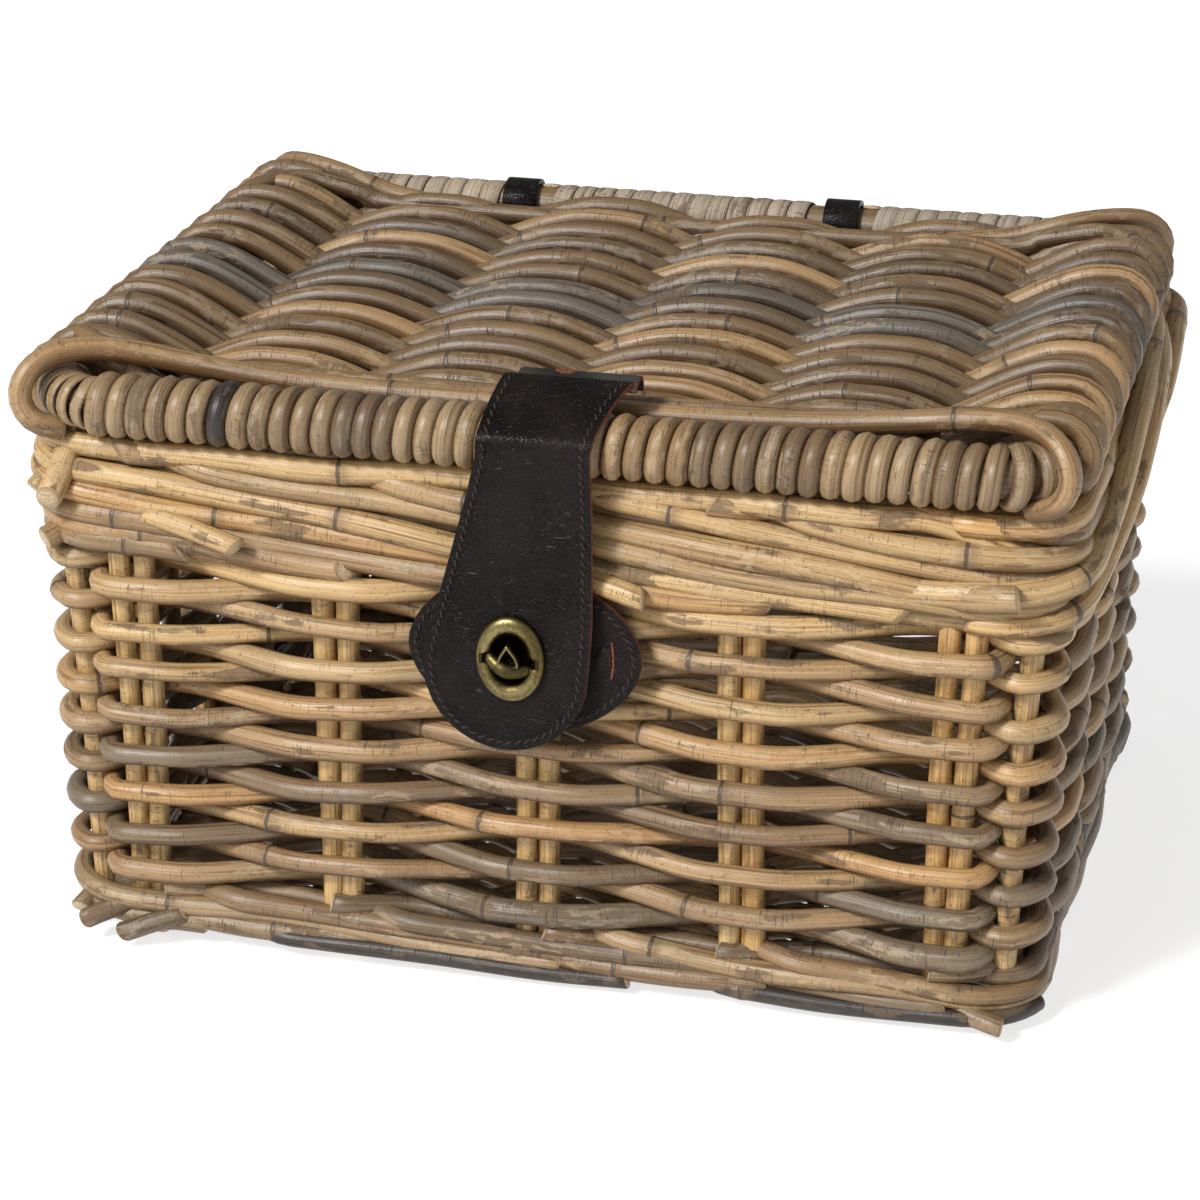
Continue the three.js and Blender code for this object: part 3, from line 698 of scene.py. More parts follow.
earthy = cane_finish("earthy_cane", (0.34, 0.24, 0.13), (0.21, 0.145, 0.082), (0.11, 0.078, 0.048),
                     flake=0.35, stain=0.5)
border_rng = np.random.default_rng(37)
border_sides = ("front_bottom_border", "back_bottom_border", "left_bottom_border", "right_bottom_border")
strand_count = 17
strand_spacing = line_length / strand_count
border_run = 3.2 * strand_spacing
border_high, border_low = 0.0235, 0.0098
border_size, end_size = 0.0088, 0.0082
strands = []
for strand in range(strand_count):
    start = strand * strand_spacing + border_rng.uniform(-0.012, 0.012)
    for out in (0.0062, -0.0052):
        strands.append(border_strand(border_rng, start, border_run, border_high, border_low, out,
                                     border_size * border_rng.uniform(0.9, 1.06),
                                     border_rng.uniform(0.1, 0.95), slant=0.25))
# Cut ends that stick out at the front corners
for start, finish in (((-0.165, -0.142, 0.016), (-0.1845, -0.1515, 0.0095)),
                      ((-0.145, -0.146, 0.014), (-0.168, -0.1530, 0.0062)),
                      ((-0.180, -0.115, 0.018), (-0.1900, -0.1420, 0.010)),
                      ((0.165, -0.142, 0.010), (0.1845, -0.1500, 0.0070))):
    strands.append(cut_end(border_rng, start, finish, end_size, (0.1, 0.8), 0.35))
cane_piece("bottom_border_canes", strands, earthy, "basket", "grey_cane", *border_sides)

blackened = cane_finish("blackened_cane", (0.055, 0.040, 0.030), (0.034, 0.026, 0.021), (0.02, 0.016, 0.013),
                        flake=0.12, stain=0.5)
dark_high, dark_low, dark_out, dark_size = 0.0090, 0.0066, 0.0092, 0.0072
darks = []
for start, length in ((-0.135, 0.175), (0.045, 0.15), (0.40, 0.2), (0.86, 0.22)):
    darks.append(border_strand(border_rng, start, length, dark_high, dark_low, dark_out, dark_size, 0.5,
                               slant=0.2, wandering=0.6))
cane_piece("bottom_border_dark_canes", darks, blackened, "basket", "grey_cane", *border_sides)


# ---- Woven base
# Long canes run from side to side over and under seven shorter ones, inside the bottom border.
base_low, base_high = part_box("woven_base")
base_rng = np.random.default_rng(41)
base_mid = (base_low[2] + base_high[2]) / 2 - 0.001
base_reach = 0.0068
base_rows = 33
base_canes = []
bearer_places = np.linspace(base_low[0] + 0.03, base_high[0] - 0.03, 7)
for x in bearer_places:
    path = through_points([(x, y, base_mid) for y in (base_low[1] + 0.001, 0, base_high[1] - 0.001)])
    base_canes.append(cane(base_rng, path, 0.007, base_rng.uniform(0.2, 0.8), step=0.012, sides=10))
for row in range(base_rows):
    y = base_low[1] + 0.006 + (base_high[1] - base_low[1] - 0.012) * row / (base_rows - 1)
    path = [(base_low[0] + 0.002, y, base_mid)]
    for index, x in enumerate(bearer_places):
        path.append((x, y, base_mid + (-base_reach if (index + row) % 2 else base_reach)))
    path.append((base_high[0] - 0.002, y, base_mid))
    base_canes.append(cane(base_rng, through_points(path, 0.006), 0.0072, base_rng.uniform(0.1, 0.9),
                           step=0.007, sides=10))
cane_piece("base_weave", base_canes, weathered, "basket", "weathered_cane", "woven_base")


# ---- Top border
# The loose plait round the rim: canes five stakes long, each starting high behind the one before it,
# sloping down outside its neighbours and ending in a cut tip. Plain canes run round inside it and on its
# crest, and a few bow out round the right front corner.
golden = cane_finish("golden_cane", (0.54, 0.37, 0.17), (0.39, 0.255, 0.12), brown, flake=0.4, stain=0.4)
rim_rng = np.random.default_rng(59)
rim_low, rim_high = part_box("front_top_border")[0][2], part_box("front_top_border")[1][2]
rim_sides = ("front_top_border", "back_top_border", "left_top_border", "right_top_border")
plait_size, inner_size, crest_size, bow_size = 0.0100, 0.0092, 0.0096, 0.0104
strands = []
# The plait, in an outer and an inner layer
for strand in range(strand_count):
    start = strand * strand_spacing + rim_rng.uniform(-0.014, 0.014)
    for out in (0.0058, -0.0052):
        length = (5.1 + rim_rng.uniform(-0.3, 0.2)) * strand_spacing
        size = plait_size * rim_rng.uniform(0.88, 1.08)
        strands.append(border_strand(rim_rng, start, length, rim_high - 0.0055, rim_low + 0.004, out, size,
                                     rim_rng.uniform(0.0, 0.75), slant=0.8))
# Canes that run right round inside it, one over another
for level in (0.004, 0.0135, 0.023, 0.0325):
    wander = drift(rim_rng)
    path = [on_line(place, wander(place) - 0.0005, rim_low + level + wander(place + 1))
            for place in np.arange(0.3, line_length + 0.32, 0.006)]
    strands.append(cane(rim_rng, path, inner_size, rim_rng.uniform(0.3, 0.9), step=0.008, sides=10))
# Canes that run half round on the crest, whose ends dip into the plait: their reach and where they begin
for out, begin in ((0.0046, 0.11), (-0.0046, 0.75), (0.0046, 0.79), (-0.0046, 0.07)):
    wander, sway = drift(rim_rng), drift(rim_rng)
    path = []
    for share in np.linspace(0, 1, 150):
        dip = 0.012 * max(0.0, 1 - min(share, 1 - share) / 0.05)**2
        reach = out * (1 if dip == 0 else 0.6) + sway(share)
        path.append(on_line(begin + share * (line_length / 2 + 0.04), reach,
                            rim_high - 0.0052 - dip + 0.6 * wander(share)))
    strands.append(cane(rim_rng, path, crest_size, rim_rng.uniform(0.1, 0.6)))
# Canes that bow out round the right front corner: where each begins from it, its run, levels and reach
right_corner = flat_x + corner_run / 2
inner_out = 0.003
for begin, run, low, high, out in ((-0.05, 0.30, 0.014, 0.046, 0.013), (-0.02, 0.27, 0.004, 0.043, 0.017),
                                   (0.03, 0.25, -0.004, 0.036, 0.013), (0.10, 0.22, 0.006, 0.040, 0.015)):
    path = []
    for share in np.linspace(0, 1, 60):
        bow = math.sin(math.pi * share)**0.6
        path.append(on_line(right_corner + begin + run * share, inner_out + (out - inner_out) * bow,
                            rim_low + low + (high - low) * eased(min(1.0, share / 0.7))))
    strands.append(cane(rim_rng, path, bow_size, rim_rng.uniform(0.1, 0.6), slant=0.6))
# Cut ends that stick out of the front, and their diameters
for start, finish, size in (((-0.186, -0.138, 0.206), (-0.1895, -0.1535, 0.190), 0.0104),
                            ((-0.190, -0.122, 0.196), (-0.1990, -0.142, 0.189), 0.0090),
                            ((-0.152, -0.146, 0.184), (-0.115, -0.1535, 0.1765), 0.0090),
                            ((-0.185, -0.120, 0.176), (-0.1945, -0.146, 0.170), 0.0096),
                            ((0.152, -0.140, 0.178), (0.184, -0.1520, 0.1830), 0.0108),
                            ((0.012, -0.146, 0.176), (0.044, -0.1525, 0.170), 0.0086)):
    strands.append(cut_end(rim_rng, start, finish, size, (0.0, 0.6), 0.45))
cane_piece("top_border_canes", strands, golden, "basket", "pale_cane", *rim_sides)


# ---- Lid frame
# A front and a back rail of thick cane with bent ends, and a straight rail at each side.
lid_rng = np.random.default_rng(71)
lid_cane = cane_finish("lid_cane", (0.37, 0.235, 0.11), (0.205, 0.13, 0.062), (0.125, 0.083, 0.045),
                       flake=0.25, stain=0.3, roughness=0.36, variety=0.15, painted_shade_level=0.0)
rail_low, rail_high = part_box("lid_front_rail")
lid_level = (rail_low[2] + rail_high[2]) / 2
rail_radius = (rail_high[2] - rail_low[2]) / 2
lid_half_x = (rail_high[0] - rail_low[0]) / 2 - rail_radius
front_y = rail_low[1] + rail_radius
back_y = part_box("lid_back_rail")[1][1] - rail_radius
lid_corner = 0.022


def both_ends(right_end):
    """A cane along X from its right end's points, which its left end mirrors."""
    return [(-x, y, z) for x, y, z in right_end[::-1]] + right_end


def rail_path(y, inwards):
    """The middle of a rail along X, with both ends bent inwards."""
    return np.array(both_ends([(lid_half_x - lid_corner + lid_corner * math.sin(angle),
                                y + inwards * lid_corner * (1 - math.cos(angle)), lid_level)
                               for angle in np.linspace(0, math.pi / 2, 9)]))


def front_to_back(node, level):
    """A straight line along Y through a node."""
    low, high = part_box(node)
    return [(centre_of(node)[0], y, level) for y in (low[1], 0, high[1])]


rail_cane_size = 2 * rail_radius * 0.98
for node, y, inwards in (("lid_front_rail", front_y, 1), ("lid_back_rail", back_y, -1)):
    rail = cane(lid_rng, rail_path(y, inwards), rail_cane_size, 0.5, step=0.006, sides=16)
    cane_piece(node + "_cane", [rail], lid_cane, "lid", "grey_cane", node)
for node in ("lid_left_rail", "lid_right_rail"):
    rail = cane(lid_rng, front_to_back(node, lid_level), rail_cane_size, 0.5, step=0.008, sides=16)
    cane_piece(node + "_cane", [rail], lid_cane, "lid", "grey_cane", node)


# ---- Woven lid
# Twenty-seven canes run from side to side, over and under four stakes and round the side rails. Where a
# cane passes over a side rail it turns down round it and is tucked under.
silver_cane = cane_finish("silvered_cane", (0.20, 0.175, 0.145), (0.14, 0.12, 0.095), (0.10, 0.083, 0.063),
                          flake=0.35, stain=0.3, roughness=0.4, variety=0.1, painted_shade_level=0.0)
panel_low, panel_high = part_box("lid_woven_panel")
lid_rows = 27
lid_pitch = (panel_high[1] - panel_low[1]) / lid_rows
lid_weaver = 0.0091
warp_places = sorted(centre_of(f"lid_stake_{n}")[0] for n in range(1, 5))
warp_cane = 0.008
over = (lid_weaver + warp_cane) / 2
turn_reach = rail_radius + lid_weaver / 2
turned_under, turned_over = 35, 200
weave_drop = 0.0025
level_run = 0.06
pale_rows = (3, 9, 19)
silver_rows = (12, 14, 15)
weavers = []
for row in range(lid_rows):
    middle_y = panel_low[1] + (row + 0.5) * lid_pitch
    tone = 0.05 if row in pale_rows else lid_rng.uniform(0.25, 0.7) + (0.25 if 9 < row < 22 else 0.0)
    wander = drift(lid_rng, (0.3, 0.16), (0.0007, 0.0005))
    crossings = []
    for index, x in enumerate([-lid_half_x, *warp_places, lid_half_x]):
        up = 1 if (index + row) % 2 == 0 else -1
        crossings.append((x, up * (turn_reach if abs(x) == lid_half_x else over)))
    path = []
    for (x0, z0), (x1, z1) in zip(crossings, crossings[1:]):
        for share in np.linspace(0, 1, 24, endpoint=False):
            x = x0 + (x1 - x0) * share
            bend = clamp((share - level_run) / (1 - 2 * level_run))
            z = z0 + (z1 - z0) * (0.5 - 0.5 * math.cos(math.pi * bend))
            drop = weave_drop * clamp((lid_half_x - 0.012 - abs(x)) / 0.03)
            path.append((x, middle_y + wander(x), lid_level + z - drop))
    x, z = crossings[-1]
    path.append((x, middle_y + wander(x), lid_level + z))
    for hand, (x, y, z) in ((-1, path[0]), (1, path[-1])):
        side, shift, last = (1, -0.5 * lid_pitch, turned_over) if z > lid_level else (-1, 0.0, turned_under)
        turn = []
        for angle in np.radians(np.arange(6, last, 6)):
            turn.append((hand * (lid_half_x + turn_reach * math.sin(angle)), y + shift * angle / math.pi,
                         lid_level + side * turn_reach * math.cos(angle)))
        path = turn[::-1] + path if hand < 0 else path + turn
    weavers.append(cane(lid_rng, path, lid_weaver * lid_rng.uniform(0.92, 1.05), tone, step=0.0045))
half = lid_rows // 2
brown_rows = [row for row in range(lid_rows) if row not in silver_rows]
cane_piece("lid_weavers_front", [weavers[row] for row in brown_rows if row < half], lid_cane, "lid",
           "weathered_cane", "lid_woven_panel", "lid_left_weaver_turns", "lid_right_weaver_turns")
cane_piece("lid_weavers_back", [weavers[row] for row in brown_rows if row >= half], lid_cane, "lid",
           "weathered_cane", "lid_woven_panel")
cane_piece("lid_weavers_silvered", [weavers[row] for row in silver_rows], silver_cane, "lid", "grey_cane",
           "lid_woven_panel")
for number in range(1, 5):
    node = f"lid_stake_{number}"
    stake = cane(lid_rng, front_to_back(node, lid_level - weave_drop), warp_cane, lid_rng.uniform(0.1, 0.5),
                 step=0.01)
    cane_piece(node + "_cane", [stake], straw_cane, "lid", "pale_cane", node)


# ---- Coiled front rail and wrapped back rail
# Round cane is wound tight round the front rail in short runs, one of them nearly black, and flat grey
# peel round the back rail between the hinge loops.
def wound(rng, rail, start, end, pitch, reach, diameter, tone, flat, begin=0.0):
    """A cane wound round a rail from one distance along it to another, beginning at an angle from the top."""
    places = np.linspace(start, end, int((end - start) / pitch * 22))
    centre = along_path(places, distances(rail), rail)
    ahead = unit(np.gradient(centre, places, axis=0))
    up = np.tile([0.0, 0.0, 1.0], (len(places), 1))
    angle = begin - (places - start) / pitch * 2 * math.pi
    out = np.cos(angle)[:, None] * up + np.sin(angle)[:, None] * np.cross(ahead, up)
    return cane(rng, centre + reach * out, diameter, tone, step=0.0031, sides=10, flat=flat, facing=out,
                knots=False)


coil_rng = np.random.default_rng(83)
coil_cane = cane_finish("coil_cane", (0.33, 0.23, 0.125), (0.215, 0.145, 0.08), (0.115, 0.076, 0.044),
                        flake=0.35, stain=0.6, roughness=0.36, variety=0.3, painted_shade_level=-0.1)
front_rail = rail_path(front_y, 1)
bend_length = math.pi / 2 * lid_corner
straight_half = lid_half_x - lid_corner
rail_length = 2 * bend_length + 2 * straight_half
coil_pitch = 0.0081
coil_reach = 0.0091
coil_size = 0.0082
coil_begin = 3.9
coils, dark_coils = [], []
dark_place = bend_length + straight_half - 0.100
place = bend_length * 0.95
while place < rail_length - coil_pitch:
    turns = int(coil_rng.integers(1, 4))
    pitch = coil_pitch * coil_rng.uniform(0.97, 1.04)
    turns = min(turns, max(1, int((rail_length - place) / pitch)))
    dark = place < dark_place < place + 3 * pitch and not dark_coils
    turns = 1 if dark else turns
    size = coil_size * coil_rng.uniform(0.97, 1.05)
    coil = wound(coil_rng, front_rail, place, place + turns * pitch, pitch, coil_reach, size,
                 coil_rng.uniform(0.0, 0.85), 0.94, coil_begin)
    (dark_coils if dark else coils).append(coil)
    place += turns * pitch
cane_piece("front_rail_coil_cane", coils, coil_cane, "lid", "grey_cane", "front_rail_coils")
cane_piece("front_rail_dark_coil", dark_coils, blackened, "lid", "grey_cane")
corner_width = 0.0052
corner_peel = wound(coil_rng, front_rail, 0.0, bend_length * 0.93, corner_width, rail_radius + 0.0012,
                    corner_width, 0.1, 0.42)
cane_piece("front_corner_peel", [corner_peel], coil_cane, "lid", "grey_cane")

peel_finish = cane_finish("cane_peel", (0.45, 0.375, 0.285), (0.33, 0.275, 0.21), brown,
                          flake=0.5, stain=0.2, roughness=0.6)
back_rail = rail_path(back_y, -1)
peel_width = 0.0088
peel_gap = 0.004
for name, more_left, more_right in (("left", 0.8, 0), ("middle", 0, 0), ("right", 0, 0.8)):
    node = f"back_rail_peel_{name}"
    low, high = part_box(node)
    start = low[0] + straight_half + bend_length - bend_length * more_left
    end = high[0] + straight_half + bend_length + bend_length * more_right
    peel = wound(coil_rng, back_rail, start + peel_gap, end - peel_gap, peel_width, rail_radius + 0.0006,
                 peel_width, 0.35, 0.17)
    cane_piece(node + "_strip", [peel], peel_finish, "lid", "cane_peel", node)


# ---- Cane tucked along the edges of the lid
# Behind each rail a single cane runs the whole width on top of the weave, and at each end curls over the
# bent corner of the frame and down under it.
def edge_cane(rng, y, inwards, rise, diameter, tone, lean=0.0):
    """A cane along a rail whose ends loop round the frame's corners."""
    reach = rail_radius + diameter / 2 + 0.001
    side = lid_half_x
    bend_y = 0.006 + lean
    curl = [(side - 0.075, 0, rise), (side - 0.04, -0.001, rise + 0.005),
            (side - 0.014, 0.001, reach * 0.97), (side + 0.003, bend_y, reach * 0.9),
            (side + reach * 0.86, bend_y + 0.004, reach * 0.3),
            (side + reach * 0.8, bend_y + 0.007, -reach * 0.5), (side - 0.004, bend_y + 0.008, -reach)]
    line = both_ends([(x, y + inwards * away, lid_level + z) for x, away, z in curl])
    return cane(rng, through_points(line), diameter, tone, step=0.004)


def corner_loop(rng, y, inwards, middle, diameter, tone, sink=0.0):
    """A cane along a rail that sweeps out over both bent corners of the frame and down round them."""
    side = lid_half_x
    loop = [(side - 0.150, middle, 0.0068), (side - 0.095, middle + 0.001, 0.0078),
            (side - 0.055, 0.0195, 0.0120), (side - 0.030, 0.0170, 0.0158), (side - 0.012, 0.0110, 0.0178),
            (side + 0.001, 0.0035, 0.0156), (side + 0.0080, -0.0030, 0.0085),
            (side + 0.0088, -0.0048, -0.0002), (side + 0.0040, -0.0040, -0.0078),
            (side - 0.0050, 0.0005, -0.0115)]
    line = both_ends([(x, y + inwards * away, lid_level + z - sink * (1.0 if away > 0.018 else 0.45))
                      for x, away, z in loop])
    return cane(rng, through_points(line), diameter, tone, step=0.004)


edge_rng = np.random.default_rng(97)
edge_canes = [corner_loop(edge_rng, front_y, 1, 0.0195, 0.0090, 0.2),
              edge_cane(edge_rng, front_y + 0.0275, 1, 0.0075, 0.0086, 0.45, 0.010),
              corner_loop(edge_rng, back_y, -1, 0.0215, 0.0088, 0.3, 0.0065),
              edge_cane(edge_rng, back_y - 0.0282, -1, 0.0030, 0.0086, 0.6, 0.010)]
cane_piece("lid_edge_canes", edge_canes, lid_cane, "lid", "weathered_cane")


# ---- Leather
# Dark brown grained leather, 2 mm thick, with raw red-brown cut edges and scuffs that catch the light.
def leather_finish(name, color, roughness):
    """Grained leather with fine creases, a broad change of shade and a few pale scuffs."""
    material, tree, shader = new_finish(name)
    place = tree.nodes.new("ShaderNodeTexCoord").outputs["Object"]
    cells = tree.nodes.new("ShaderNodeTexVoronoi")
    cells.feature = "DISTANCE_TO_EDGE"
    cells.inputs["Scale"].default_value = 1150
    nudge = tree.nodes.new("ShaderNodeVectorMath")
    nudge.operation = "SCALE"
    feed(nudge.inputs[0], noise(place, 260, 3.0))
    nudge.inputs["Scale"].default_value = 0.0016
    moved = tree.nodes.new("ShaderNodeVectorMath")
    moved.operation = "ADD"
    feed(moved.inputs[0], place)
    feed(moved.inputs[1], nudge.outputs[0])
    feed(cells.inputs["Vector"], moved.outputs[0])
    creases = remap(cells.outputs["Distance"], 0.0, 0.16)
    pull = noise(place, 1.0, 3.0, (700, 700, 120))
    broad = noise(place, 46, 3.0)
    scuffs = remap(noise(place, 1.0, 4.0, (160, 160, 1400)), 0.66, 0.7)
    scuffs = times(scuffs, remap(noise(place, 60, 2.0), 0.52, 0.62))
    dark = tuple(channel * 0.55 for channel in color)
    pale = tuple(channel * 1.5 for channel in color)
    body = mix(remap(broad, 0.35, 0.65), dark, pale)
    body = mix(times(scuffs, 0.35), body, (0.22, 0.2, 0.18))
    feed(shader.inputs["Base Color"], body)
    rough = remap(broad, 0.3, 0.7, roughness - 0.07, roughness + 0.1)
    feed(shader.inputs["Roughness"], rough)
    shader.inputs["Specular IOR Level"].default_value = 0.15
    height = plus(creases, times(pull, 1.1))
    emboss(shader, height, 0.00035, 0.55)
    return material


def raw_edge_finish(name, color):
    """The fibres of a cut edge, or of thread."""
    material, tree, shader = new_finish(name)
    place = tree.nodes.new("ShaderNodeTexCoord").outputs["Object"]
    fibre = noise(place, 900, 4.0)
    body = mix(remap(fibre, 0.4, 0.62), tuple(c * 0.35 for c in color), color)
    feed(shader.inputs["Base Color"], body)
    shader.inputs["Roughness"].default_value = 0.85
    emboss(shader, fibre, 0.0003)
    return material


hide = leather_finish("dark_leather", (0.0058, 0.0036, 0.0030), 0.3)
suede = leather_finish("leather_back", (0.03, 0.03, 0.026), 0.6)
raw_edge = raw_edge_finish("raw_leather_edge", (0.21, 0.062, 0.026))


def pick(piece):
    """Makes a piece the one that is worked on."""
    bpy.ops.object.select_all(action="DESELECT")
    piece.select_set(True)
    bpy.context.view_layer.objects.active = piece


def soften_edges(piece, width):
    """Rounds a picked piece's sharp edges and smooths the rest."""
    soften = piece.modifiers.new("soft_edges", "BEVEL")
    soften.width = width
    soften.segments = 2
    soften.limit_method = "ANGLE"
    soften.angle_limit = math.radians(50)
    bpy.ops.object.modifier_apply(modifier=soften.name)
    bpy.ops.object.shade_smooth_by_angle(angle=math.radians(40))


def leather_piece(name, body, rows, thickness, *replaced, columns=14, materials=(hide, raw_edge), hole=None):
    """A sheet of leather from rows of (left end, right end, outward direction) across it, given its
    thickness, softened edges and raw sides; hole is an oval cutter."""
    points, faces = [], []
    for left, right, _ in rows:
        left, right = np.array(left), np.array(right)
        for column in range(columns + 1):
            even = column / columns
            share = 0.5 * (0.5 - 0.5 * math.cos(math.pi * even)) + 0.5 * even
            points.append(tuple(left + (right - left) * share))
    for row in range(len(rows) - 1):
        for column in range(columns):
            corner = row * (columns + 1) + column
            faces.append((corner, corner + columns + 1, corner + columns + 2, corner + 1))
    mesh = bpy.data.meshes.new(name)
    mesh.from_pydata(points, [], faces)
    piece = bpy.data.objects.new(name, mesh)
    bpy.context.scene.collection.objects.link(piece)
    outside = Vector(rows[len(rows) // 2][2])
    if mesh.polygons[len(mesh.polygons) // 2].normal.dot(outside) < 0:
        mesh.flip_normals()
    for material in materials:
        mesh.materials.append(material)
    pick(piece)
    solid = piece.modifiers.new("thickness", "SOLIDIFY")
    solid.thickness = thickness
    solid.offset = 0
    solid.material_offset_rim = 1
    bpy.ops.object.modifier_apply(modifier=solid.name)
    if hole is not None:
        opening = piece.modifiers.new("hole", "BOOLEAN")
        opening.object = hole
        opening.operation = "DIFFERENCE"
        opening.solver = "EXACT"
        bpy.ops.object.modifier_apply(modifier=opening.name)
        bpy.data.objects.remove(hole)
    soften_edges(piece, thickness * 0.22)
    settle(piece, body, "dark_leather", *replaced)


stitch_pitch = 0.0036
thread_size = 0.0009
stitch_slant = 0.5
thread_finish = raw_edge_finish("stitch_thread", (0.035, 0.019, 0.014))


def stitches(name, body, route):
    """Short slanted stitches along a route of (point, outward direction) pairs, as one piece."""
    spots = np.array([point for point, _ in route])
    outs = np.array([out for _, out in route])
    walked = distances(spots)
    rng = np.random.default_rng(len(spots))
    threads = []
    for place in np.arange(stitch_pitch / 2, walked[-1], stitch_pitch):
        spot, next_spot = along_path([place, place + 0.0005], walked, spots)
        out = along_path([place], walked, outs)[0]
        ahead = next_spot - spot
        ahead /= np.linalg.norm(ahead) + 1e-12
        lean = stitch_slant + rng.uniform(-0.12, 0.12)
        run = (ahead * math.cos(lean) + np.cross(out, ahead) * math.sin(lean)) * stitch_pitch * 0.34
        lift = out * thread_size * 0.25
        path = [spot - run - lift, spot + lift, spot + run - lift]
        threads.append(cane(rng, path, thread_size, 0.5, step=0.001, sides=6, knots=False))
    cane_piece(name, threads, thread_finish, body, "dark_leather")


# ---- Hinge loops
# Each is a leather band, closed round the back rail and the top canes of the back border.
loop_edge = 0.0005
for hand in ("left", "right"):
    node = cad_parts[f"hinge_loop_{hand}"]
    loop = node.copy()
    loop.data = node.data.copy()
    loop.name = f"hinge_loop_{hand}_band"
    loop.parent = None
    for key in list(loop.keys()):
        del loop[key]
    bpy.context.scene.collection.objects.link(loop)
    sculpt = bmesh.new()
    sculpt.from_mesh(loop.data)
    bmesh.ops.remove_doubles(sculpt, verts=sculpt.verts, dist=1e-6)
    bmesh.ops.dissolve_limit(sculpt, angle_limit=math.radians(1), verts=sculpt.verts, edges=sculpt.edges)
    sculpt.to_mesh(loop.data)
    sculpt.free()
    loop.data.materials.clear()
    loop.data.materials.append(hide)
    pick(loop)
    soften_edges(loop, loop_edge)
    settle(loop, "basket", "dark_leather", node.name)


# ---- Latch patch
# An oval of leather laced flat to the front wall by a tie that shows in its two slots.
patch_mid, patch_size = box_of("latch_patch")
patch_face = patch_mid[1] - patch_size[1] * 0.55
seam_inset = 0.003
front = (0, -1, 0)


def patch_point(angle, inset, y):
    """A point on the patch's outline, an oval that is slightly more pointed than an ellipse."""
    across, up = math.cos(angle), math.sin(angle)
    return (patch_mid[0] + (patch_size[0] / 2 - inset) * math.copysign(abs(across)**1.08, across), y,
            patch_mid[2] + (patch_size[2] / 2 - inset) * math.copysign(abs(up)**1.08, up))


patch_rows = []
for angle in np.radians(np.linspace(-89.4, 89.4, 41)):
    right = patch_point(angle, 0, patch_mid[1])
    patch_rows.append(((2 * patch_mid[0] - right[0], right[1], right[2]), right, front))
leather_piece("latch_patch_leather", "basket", patch_rows, patch_size[1] * 1.1, "latch_patch")
stitches("latch_patch_stitches", "basket",
         [(patch_point(angle, seam_inset, patch_face), front) for angle in np.linspace(0, 2 * math.pi, 120)])
for hand in ("left", "right"):
    tie = f"patch_tie_{hand}"
    tie_mid, tie_size = box_of(tie)
    rows = []
    for share in np.linspace(-0.5, 0.5, 11):
        crown = 0.0016 - 0.0034 * (2 * share)**2
        y, z = patch_mid[1] - patch_size[1] / 2 - crown + 0.0008, tie_mid[2] + share * tie_size[2]
        rows.append(((tie_mid[0] - tie_size[0] / 2, y, z), (tie_mid[0] + tie_size[0] / 2, y, z), front))
    leather_piece(tie + "_strip", "basket", rows, 0.0016, tie, columns=5)
    slot_edge = [(tie_mid[0] + tie_size[0] / 2 + 0.0004 + 0.0007 * math.cos(math.pi * share), patch_face,
                  tie_mid[2] + share * (tie_size[2] + 0.001)) for share in np.linspace(-0.5, 0.5, 13)]
    slot_edge = cane(np.random.default_rng(5), slot_edge, 0.0010, 0.5, step=0.0012, sides=8, knots=False)
    cane_piece(f"patch_slot_{hand}_edge", [slot_edge], raw_edge, "basket", "dark_leather")


# ---- Turn-lock and eyelet
# Antique brass, darkened in its hollows and rubbed bright where fingers and leather touch it, with painted
# highlights on the eyelet ring's upper left and on the knob's bar. The oval base is riveted to the patch; the
# eyelet ring and its washer clamp the strap.
def brass_finish():
    """Brass that goes from black in its hollows to bright where it is rubbed, and where a highlight is
    painted.
    """
    material, tree, shader = new_finish("antique_brass")
    place = tree.nodes.new("ShaderNodeTexCoord").outputs["Object"]
    # The brightness layer holds rubbed wear and, on the ring and the bar, painted highlights.
    wear_and_highlight = named(tree, "wear_and_highlight")
    cloud = noise(place, 900, 4.0)
    level = plus(wear_and_highlight, times(minus(cloud, 0.5), 0.5))
    body = ramp(level, [(0.05, (0.016, 0.012, 0.006)), (0.45, (0.135, 0.104, 0.040)),
                        (0.95, (0.50, 0.41, 0.19))])
    feed(shader.inputs["Base Color"], body)
    shader.inputs["Metallic"].default_value = 1.0
    feed(shader.inputs["Roughness"], remap(level, 0.1, 0.9, 0.55, 0.27))
    emboss(shader, noise(place, 1500, 3.0), 0.00012, 0.4)
    return material


brass = brass_finish()


def brass_piece(name, points, faces, wear_and_highlight, body, node):
    """A brass piece that is as bright at each point as wear_and_highlight says: rubbed wear, and on some
    pieces a painted highlight.
    """
    piece = smooth_piece(name, [tuple(point) for point in points], faces, {"wear_and_highlight": wear_and_highlight}, brass)
    settle(piece, body, "antique_brass", node)


def loft_faces(count, sides, closed=False):
    """The faces between rings of points, which either join up in a loop or are capped at both ends."""
    faces = []
    for ring in range(count if closed else count - 1):
        for side in range(sides):
            a, b = ring * sides + side, ring * sides + (side + 1) % sides
            c, d = (ring + 1) % count * sides + side, (ring + 1) % count * sides + (side + 1) % sides
            faces.append((a, b, d, c))
    if not closed:
        faces.append(tuple(range(sides)))
        faces.append(tuple(reversed(range((count - 1) * sides, count * sides))))
    return faces


def oval_loft(mid, profile, closed, sides=72):
    """Ovals set out along -Y from (half width, half height, distance out, wear and highlight) in turn."""
    points, wear_and_highlight = [], []
    for half_width, half_height, out, worn in profile:
        for angle in np.arange(sides) * 2 * math.pi / sides:
            points.append((mid[0] + half_width * math.cos(angle), mid[1] - out,
                           mid[2] + half_height * math.sin(angle)))
            wear_and_highlight.append(worn)
    return points, loft_faces(len(profile), sides, closed), wear_and_highlight


